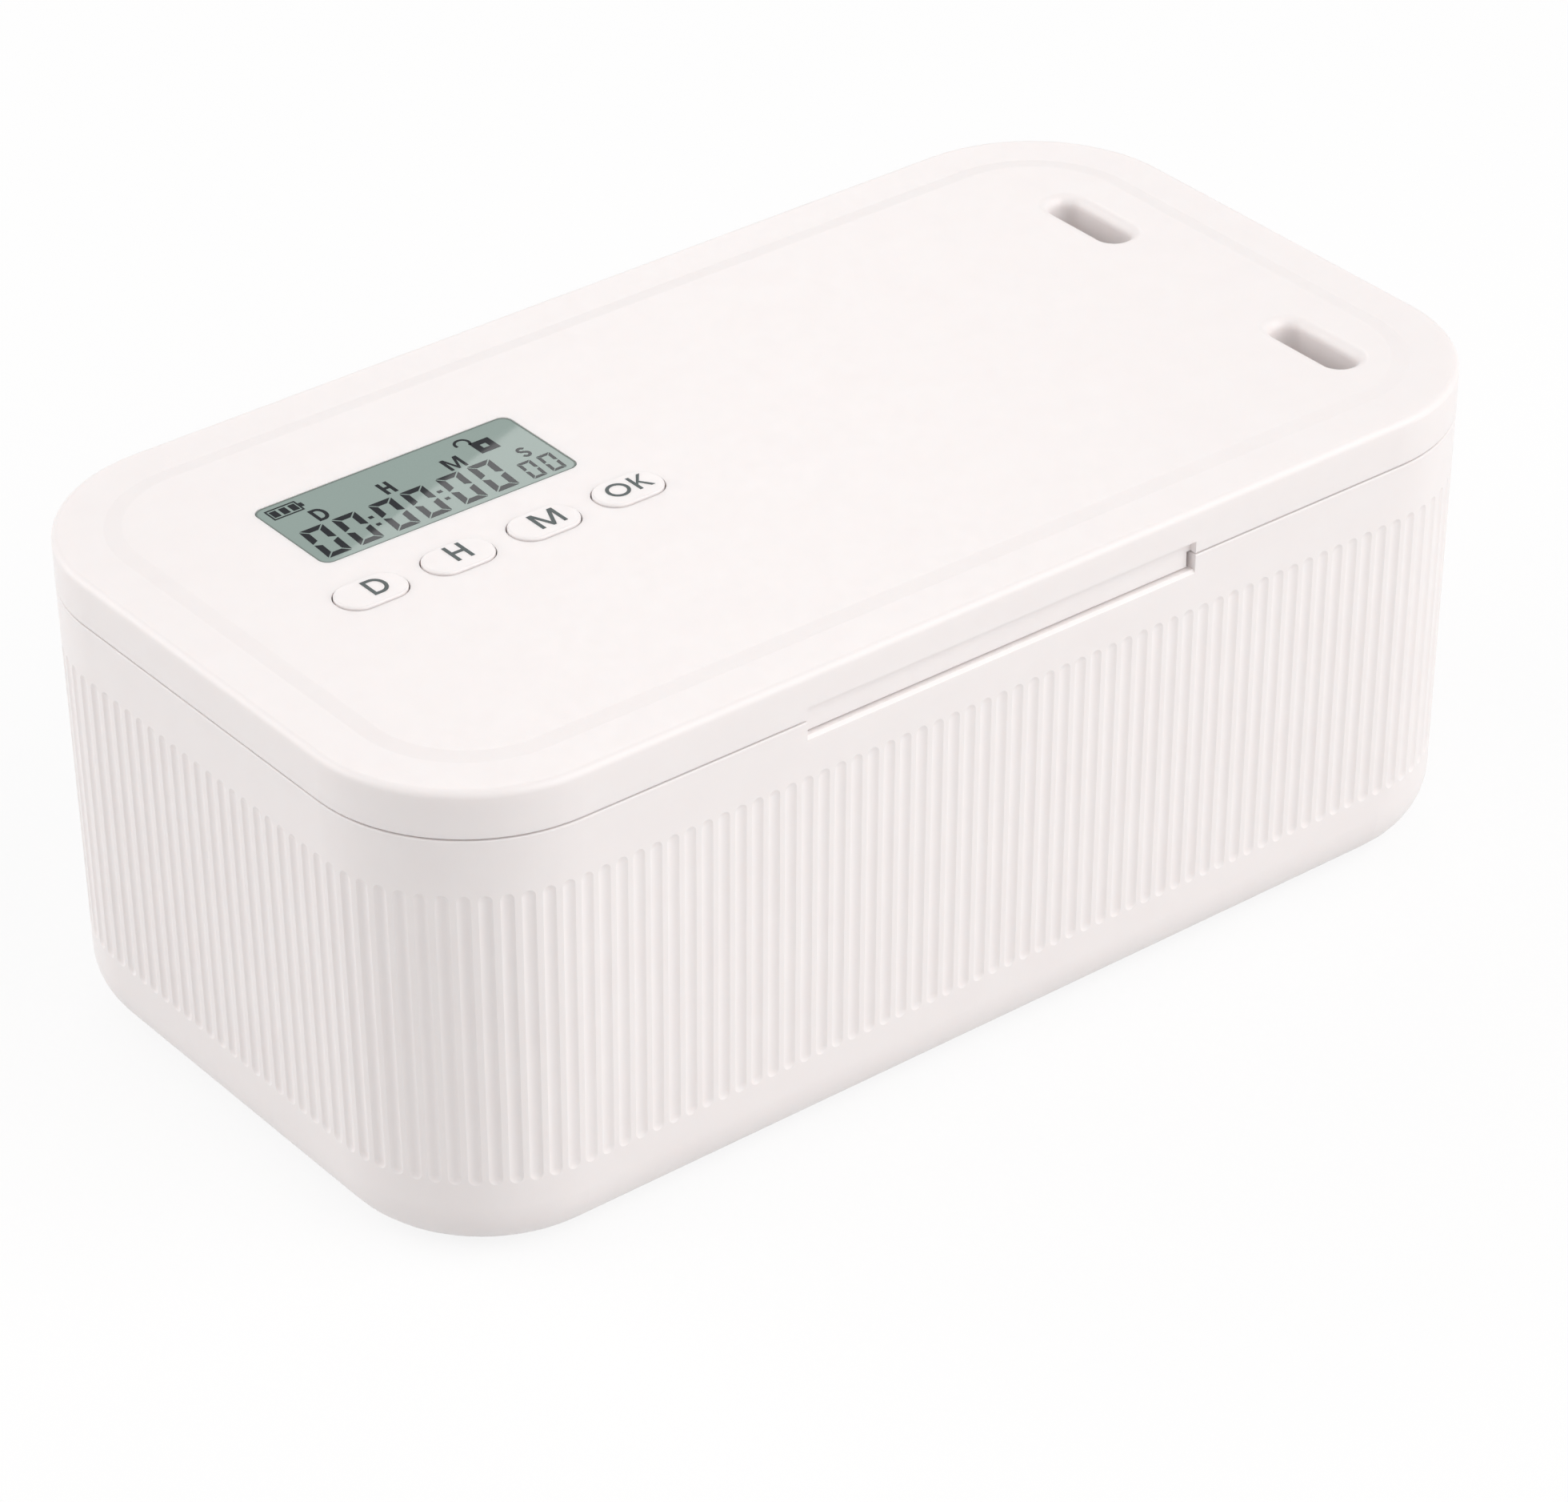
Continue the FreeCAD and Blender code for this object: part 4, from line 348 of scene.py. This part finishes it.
LEAD = rubbery("lead_sleeve", linear(150, 30, 28), 0.5, 0.01)
BOARD = circuit("circuit_board")
# display's own grey-green, also put on the window, where it is a painted reflection of the
# display on the window's side faces
CRYSTAL_AND_PAINTED_REFLECTION = crystal("display_glass_and_painted_reflection")
SEGMENT = liquid("display_segments")
INK_GREY = ink("letter_ink", linear(70, 80, 80))
# painted shade: dark grey-green line round the display glass, standing in for the shadow in the
# gap round the window
EDGE_SHADE = ink("glass_edge_shade", linear(104, 116, 110))

FINISH = {
    "box_shell": BODY, "near_keeper": BODY, "far_keeper": BODY, "keeper_screws": ZINC,
    "lid_cover": LID, "lid_base": LID, "lid_screws": ZINC,
    # painted reflection: the window glass takes the display's grey-green, which on its side faces
    # stands for the display mirrored inside the pane
    "display_window": CRYSTAL_AND_PAINTED_REFLECTION, "display_panel": CRYSTAL_AND_PAINTED_REFLECTION, "display_frame": INNER,
    "display_contacts": SILICONE, "main_board": BOARD, "board_parts": BLACK,
    "board_screws": ZINC, "tact_switches": BLACK,
    "plunger_d": ACETAL, "plunger_h": ACETAL, "plunger_m": ACETAL, "plunger_ok": ACETAL,
    "button_d": CAP, "button_h": CAP, "button_m": CAP, "button_ok": CAP,
    "battery_cell": POUCH, "battery_pad": FOAM, "battery_leads": LEAD,
    "charge_port": NICKEL, "charge_board": BOARD, "charge_screws": ZINC, "charge_leads": LEAD,
    "latch_chassis": INNER, "chassis_screws": ZINC,
    "motor_can": NICKEL, "motor_gearbox": BRASS, "motor_strap": STEEL, "motor_leads": LEAD,
    "output_shaft": STEEL, "drive_pinion": BRASS, "near_bolt": ACETAL, "far_bolt": ACETAL,
    "bolt_sensor": BLACK,
}
for name, node in NODES.items():
    node.data.materials.clear()
    node.data.materials.append(FINISH[name])


# ---------------------------------------------------------------- flat figures

SHARPEST_MITRE = 0.35     # cosine at which a ribbon's corner stops growing


def prism(mesh, outline, low, high):
    """Closed upright solid over an outline of (x, y) points in millimetres."""
    floor = [mesh.verts.new((x * MM, y * MM, low * MM)) for x, y in outline]
    roof = [mesh.verts.new((x * MM, y * MM, high * MM)) for x, y in outline]
    mesh.faces.new(list(reversed(floor)))
    mesh.faces.new(roof)
    count = len(outline)
    for k in range(count):
        n = (k + 1) % count
        mesh.faces.new((floor[k], floor[n], roof[n], roof[k]))


def mitres(points, closed):
    """Offset at each point of a line that keeps a ribbon's sides one unit from it."""
    result = []
    count = len(points)
    for k in range(count):
        before = points[k - 1] if closed or k > 0 else None
        after = points[(k + 1) % count] if closed or k < count - 1 else None
        here = Vector(points[k])
        ways = []
        if before is not None:
            ways.append((here - Vector(before)).normalized())
        if after is not None:
            ways.append((Vector(after) - here).normalized())
        way = sum(ways, Vector((0, 0))).normalized()
        across = Vector((-way.y, way.x))
        reach = 1.0 / max(SHARPEST_MITRE, across.dot(Vector((-ways[0].y, ways[0].x))))
        result.append(across * reach)
    return result


def ribbon(mesh, points, width, low, high, closed=False):
    """Closed solid of constant width along a flat line."""
    sides = mitres(points, closed)
    left = [(p[0] + s.x * width / 2, p[1] + s.y * width / 2) for p, s in zip(points, sides)]
    right = [(p[0] - s.x * width / 2, p[1] - s.y * width / 2) for p, s in zip(points, sides)]
    if not closed:
        prism(mesh, right + list(reversed(left)), low, high)
        return
    rings = [[mesh.verts.new((x * MM, y * MM, z * MM)) for x, y in line]
             for line, z in ((left, low), (left, high), (right, high), (right, low))]
    count = len(points)
    for k in range(count):
        n = (k + 1) % count
        for ring, other in zip(rings, rings[1:] + rings[:1]):
            mesh.faces.new((ring[k], ring[n], other[n], other[k]))


def arc(centre, radius, start, stop, count):
    """Points of an arc, angles in degrees, radius as a pair for an ellipse."""
    return [(centre[0] + radius[0] * math.cos(math.radians(start + (stop - start) * k / count)),
             centre[1] + radius[1] * math.sin(math.radians(start + (stop - start) * k / count)))
            for k in range(count + 1)]


def placed(name, data):
    """Object in the scene from a mesh, lamp or camera."""
    piece = bpy.data.objects.new(name, data)
    bpy.context.scene.collection.objects.link(piece)
    return piece


def meshed(mesh, name, material):
    """Object in the scene from a bmesh, which ends here."""
    data = bpy.data.meshes.new(name)
    mesh.to_mesh(data)
    mesh.free()
    data.materials.append(material)
    return placed(name, data)


def finished(mesh, name, material, body):
    """Object from a bmesh, riding on a body."""
    bmesh.ops.recalc_face_normals(mesh, faces=mesh.faces)
    piece = meshed(mesh, name, material)
    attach(piece, body)


def letter(mesh, sign, x, y, height, stroke, wide, low, high):
    """One capital letter with its lower left corner at (x, y). Returns its width.

    Its outlines run from 0 to 1 of the height, with s and v the strokes across and upright."""
    s, v = stroke, stroke / wide

    def at(points):
        return [(x + px * wide * height, y + py * height) for px, py in points]

    if sign == "D":
        bowl = arc((0.34, 0.5), (0.44 - v / 2, 0.5 - s / 2), 90, -90, 16)
        ribbon(mesh, at([(v / 2, s / 2), (v / 2, 1 - s / 2)] + bowl), s * height, low, high, True)
        return 0.78 * wide * height
    if sign == "O":
        loop = arc((0.5, 0.5), (0.5 - v / 2, 0.5 - s / 2), 0, 360, 40)[:-1]
        ribbon(mesh, at(loop), s * height, low, high, True)
        return wide * height
    if sign == "H":
        span, mid = 0.68, 0.51
        outline = [(0, 0), (v, 0), (v, mid - s / 2), (span - v, mid - s / 2), (span - v, 0),
                   (span, 0), (span, 1), (span - v, 1), (span - v, mid + s / 2),
                   (v, mid + s / 2), (v, 1), (0, 1)]
        prism(mesh, at(outline), low, high)
        return span * wide * height
    if sign == "M":
        span, lean, tip, valley = 1.06, 0.05, 0.055, 1.55 * s
        slope = (1 - valley) / (span / 2 - v - lean)
        drop = slope * (span / 2 - tip - v)
        outline = [(0, 0), (v, 0), (v, drop), (span / 2 - tip, 0), (span / 2 + tip, 0),
                   (span - v, drop), (span - v, 0), (span, 0), (span, 1), (span - v - lean, 1),
                   (span / 2, valley), (v + lean, 1), (0, 1)]
        prism(mesh, at(outline), low, high)
        return span * wide * height
    if sign == "K":
        outline = [(0, 0), (v, 0), (v, 0.33), (0.25, 0.467), (0.55, 0), (0.72, 0),
                   (0.335, 0.556), (0.69, 1), (0.52, 1), (v, 0.49), (v, 1), (0, 1)]
        prism(mesh, at(outline), low, high)
        return 0.72 * wide * height
    # what is left is S
    upper = arc((0.3, 0.74), (0.24, 0.2), 20, 270, 14)
    lower = arc((0.3, 0.28), (0.26, 0.22), 90, -160, 14)
    ribbon(mesh, at(upper + lower[1:]), s * height, low, high)
    return 0.6 * wide * height


def segments(mesh, x, y, size, low, high):
    """The six lit segments of a zero, mitred and slanted, lower left corner at (x, y)."""
    width, height, stroke, gap = size
    level = [(gap, 0), (width - gap, 0), (width - stroke - gap, stroke), (stroke + gap, stroke)]
    upright = [(0, gap), (stroke, stroke + gap), (stroke, height / 2 - stroke / 2 - gap),
               (0, height / 2 - gap)]
    for over in (False, True):
        for shape, side in ((level, False), (upright, False), (upright, True)):
            line = [(width - px if side else px, height - py if over else py) for px, py in shape]
            prism(mesh, [(x + px + py * SLANT, y + py) for px, py in line], low, high)


def write(name, text, x, y, height, stroke, wide, low, material, body):
    """Word centred on (x, y)."""
    gap = LETTER_GAP * height
    trial = bmesh.new()
    total = sum(letter(trial, sign, 0, 0, height, stroke, wide, 0, 1) for sign in text)
    trial.free()
    total += gap * (len(text) - 1)
    mesh = bmesh.new()
    at = x - total / 2.0
    for sign in text:
        at += letter(mesh, sign, at, y - height / 2.0, height, stroke, wide, low, low + INK) + gap
    finished(mesh, name, material, body)


def centre_of(node):
    """Middle of a node's box along X and Y, and its top, in millimetres."""
    low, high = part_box(node)
    return (low.x + high.x) / 2 / MM, (low.y + high.y) / 2 / MM, high.z / MM


for key, (text, height, off_x, off_y) in KEY_LETTERS.items():
    x, y, top = centre_of("button_" + key)
    write("letter_" + key, text, x + off_x, y + off_y, height, LETTER_STROKE, 1.0, top, INK_GREY,
          "button_" + key)


def rectangle(left, front, right, rear):
    """Corners of a rectangle, from its lowest and highest x and y."""
    return [(left, front), (right, front), (right, rear), (left, rear)]


def window_outline():
    """Rounded line just inside the window's edge, along which the painted shade line runs."""
    corner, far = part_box("display_window")
    reach = EDGE_SHADE_WIDTH / 2 + EDGE_SHADE_RADIUS
    left, front = corner.x / MM + reach, corner.y / MM + reach
    right, rear = far.x / MM - reach, far.y / MM - reach
    outline = []
    for centre, start in (((right, rear), 90), ((right, front), 0), ((left, front), -90),
                          ((left, rear), -180)):
        outline += arc(centre, (EDGE_SHADE_RADIUS, EDGE_SHADE_RADIUS), start, start - 90, 8)
    return outline


def display_figures():
    """Digits, labels, colons, battery and open padlock, seen in the window's face."""
    low = centre_of("display_window")[2]
    high = low + INK

    def show(mesh, name, material=SEGMENT):
        finished(mesh, "display_" + name, material, "lid")

    mesh = bmesh.new()
    for x in DIGIT_XS:
        segments(mesh, x, DIGIT_Y, DIGIT, low, high)
    show(mesh, "digits")

    mesh = bmesh.new()
    for x in SMALL_XS:
        segments(mesh, x, SMALL_Y, SMALL, low, high)
    show(mesh, "seconds")

    mesh = bmesh.new()
    length, height = COLON_DOT
    for x, y in COLONS:
        ribbon(mesh, [(x - length / 2, y), (x + length / 2, y)], height, low, high)
    show(mesh, "colons")

    for name, sign, x, y, height, stroke in LABELS:
        write("display_" + name, sign, x, y, height, stroke, LABEL_WIDE, low, SEGMENT,
              "lid")

    mesh = bmesh.new()
    ribbon(mesh, rectangle(*BATTERY_CASE), BATTERY_LINE, low, high, True)
    start, stop, width = BATTERY_TIP
    ribbon(mesh, [start, stop], width, low, high)
    start, stop, width = BATTERY_BAR
    for x in BATTERY_BARS:
        ribbon(mesh, [(x, start), (x, stop)], width, low, high)
    show(mesh, "battery")

    mesh = bmesh.new()
    ribbon(mesh, rectangle(*PADLOCK_BODY), PADLOCK_LINE, low, high, True)
    shackle = arc(SHACKLE_AT, (SHACKLE_R, SHACKLE_R), *SHACKLE_TURN, 18)
    ribbon(mesh, shackle, SHACKLE_LINE, low, high)
    show(mesh, "padlock")

    # painted shade: a dark line round the glass, where the gap round the window lies in shade
    mesh = bmesh.new()
    ribbon(mesh, window_outline(), EDGE_SHADE_WIDTH, low, high, True)
    show(mesh, "edge_shade", EDGE_SHADE)


display_figures()


# ---------------------------------------------------------------- studio

def seen_directly(tree):
    """Signal of 1 for camera, glossy and transmission rays, and 0 for the rest."""
    path = tree.nodes.new("ShaderNodeLightPath")
    total = path.outputs["Is Camera Ray"]
    for other in ("Is Glossy Ray", "Is Transmission Ray"):
        more = tree.nodes.new("ShaderNodeMath")
        more.operation = "MAXIMUM"
        tree.links.new(total, more.inputs[0])
        tree.links.new(path.outputs[other], more.inputs[1])
        total = more.outputs[0]
    return total


def mixed(tree, factor, first, second, output):
    """Shader output from two shaders."""
    mix = tree.nodes.new("ShaderNodeMixShader")
    tree.links.new(factor, mix.inputs[0])
    tree.links.new(first.outputs[0], mix.inputs[1])
    tree.links.new(second.outputs[0], mix.inputs[2])
    tree.links.new(mix.outputs[0], tree.nodes[output].inputs["Surface"])


def floor_material():
    """Matt grey that lights the object, mostly white to what looks at it."""
    material = bpy.data.materials.new("studio_floor")
    material.use_nodes = True
    tree = material.node_tree
    shader = tree.nodes["Principled BSDF"]
    shader.inputs["Base Color"].default_value = (FLOOR_GREY, FLOOR_GREY, FLOOR_GREY, 1)
    shader.inputs["Roughness"].default_value = FLOOR_ROUGHNESS
    shader.inputs["Specular IOR Level"].default_value = 0.0
    white = tree.nodes.new("ShaderNodeEmission")
    white.inputs["Strength"].default_value = FLOOR_WHITE
    cover = tree.nodes.new("ShaderNodeMath")
    cover.operation = "MULTIPLY"
    cover.inputs[1].default_value = FLOOR_COVER
    tree.links.new(seen_directly(tree), cover.inputs[0])
    mixed(tree, cover.outputs[0], shader, white, "Material Output")
    return material


def studio_floor():
    mesh = bmesh.new()
    corners = rectangle(-FLOOR_REACH, -FLOOR_REACH, FLOOR_REACH, FLOOR_REACH)
    mesh.faces.new([mesh.verts.new((x, y, 0)) for x, y in corners])
    meshed(mesh, "studio_floor", floor_material())


def studio_world():
    """Pale light from all round, and white where it is looked at."""
    world = bpy.data.worlds.new("studio")
    bpy.context.scene.world = world
    world.use_nodes = True
    tree = world.node_tree
    base = tree.nodes["Background"]
    base.inputs["Color"].default_value = WORLD_TINT
    base.inputs["Strength"].default_value = WORLD_STRENGTH
    white = tree.nodes.new("ShaderNodeBackground")
    white.inputs["Color"].default_value = PURE_WHITE
    white.inputs["Strength"].default_value = 1.0
    mixed(tree, seen_directly(tree), base, white, "World Output")


def lamp_panel(name, size, radiance):
    """Area lamp of that size and radiance."""
    lamp = bpy.data.lights.new(name, "AREA")
    lamp.shape = "RECTANGLE"
    lamp.size, lamp.size_y = size
    lamp.energy = radiance * math.pi * size[0] * size[1]
    lamp.color = LAMP_TINT
    return placed(name, lamp)


def soft_box(name, at, size, radiance):
    """Area lamp that faces the object."""
    way = Vector(LAMP_TARGET) - Vector(at)
    lamp = lamp_panel(name, size, radiance)
    lamp.location = at
    lamp.rotation_euler = way.to_track_quat("-Z", "Y").to_euler()


def ceiling_panel():
    """Level panel behind the object, whose rear edge the display glass mirrors."""
    low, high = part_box("display_window")
    glass = (low + high) / 2
    along = Vector((math.cos(PANEL_TURN), math.sin(PANEL_TURN), 0))
    across = Vector((-along.y, along.x, 0))
    panel = lamp_panel("ceiling_panel", (PANEL_LENGTH, PANEL_WIDTH), PANEL_RADIANCE)
    rise = PANEL_RISE * PANEL_EDGE
    panel.location = (glass + along * PANEL_ALONG + across * (PANEL_EDGE - PANEL_WIDTH / 2)
                      + Vector((0, 0, rise)))
    panel.rotation_euler = (0, 0, PANEL_TURN)


def camera():
    """Camera at the photograph's place."""
    lens = bpy.data.cameras.new("camera")
    lens.sensor_width = CAMERA_SENSOR
    lens.lens = CAMERA_LENS
    lens.clip_start, lens.clip_end = CAMERA_REACH
    piece = placed("camera", lens)
    turn = Matrix((CAMERA_RIGHT, CAMERA_UP, CAMERA_BACK)).transposed()
    piece.matrix_world = Matrix.Translation(CAMERA_AT) @ turn.to_4x4()
    bpy.context.scene.camera = piece


studio_floor()
studio_world()
for name, (at, size, radiance) in SOFT_BOXES.items():
    soft_box(name, at, size, radiance)
ceiling_panel()
camera()

bpy.context.scene.view_settings.view_transform = "Standard"
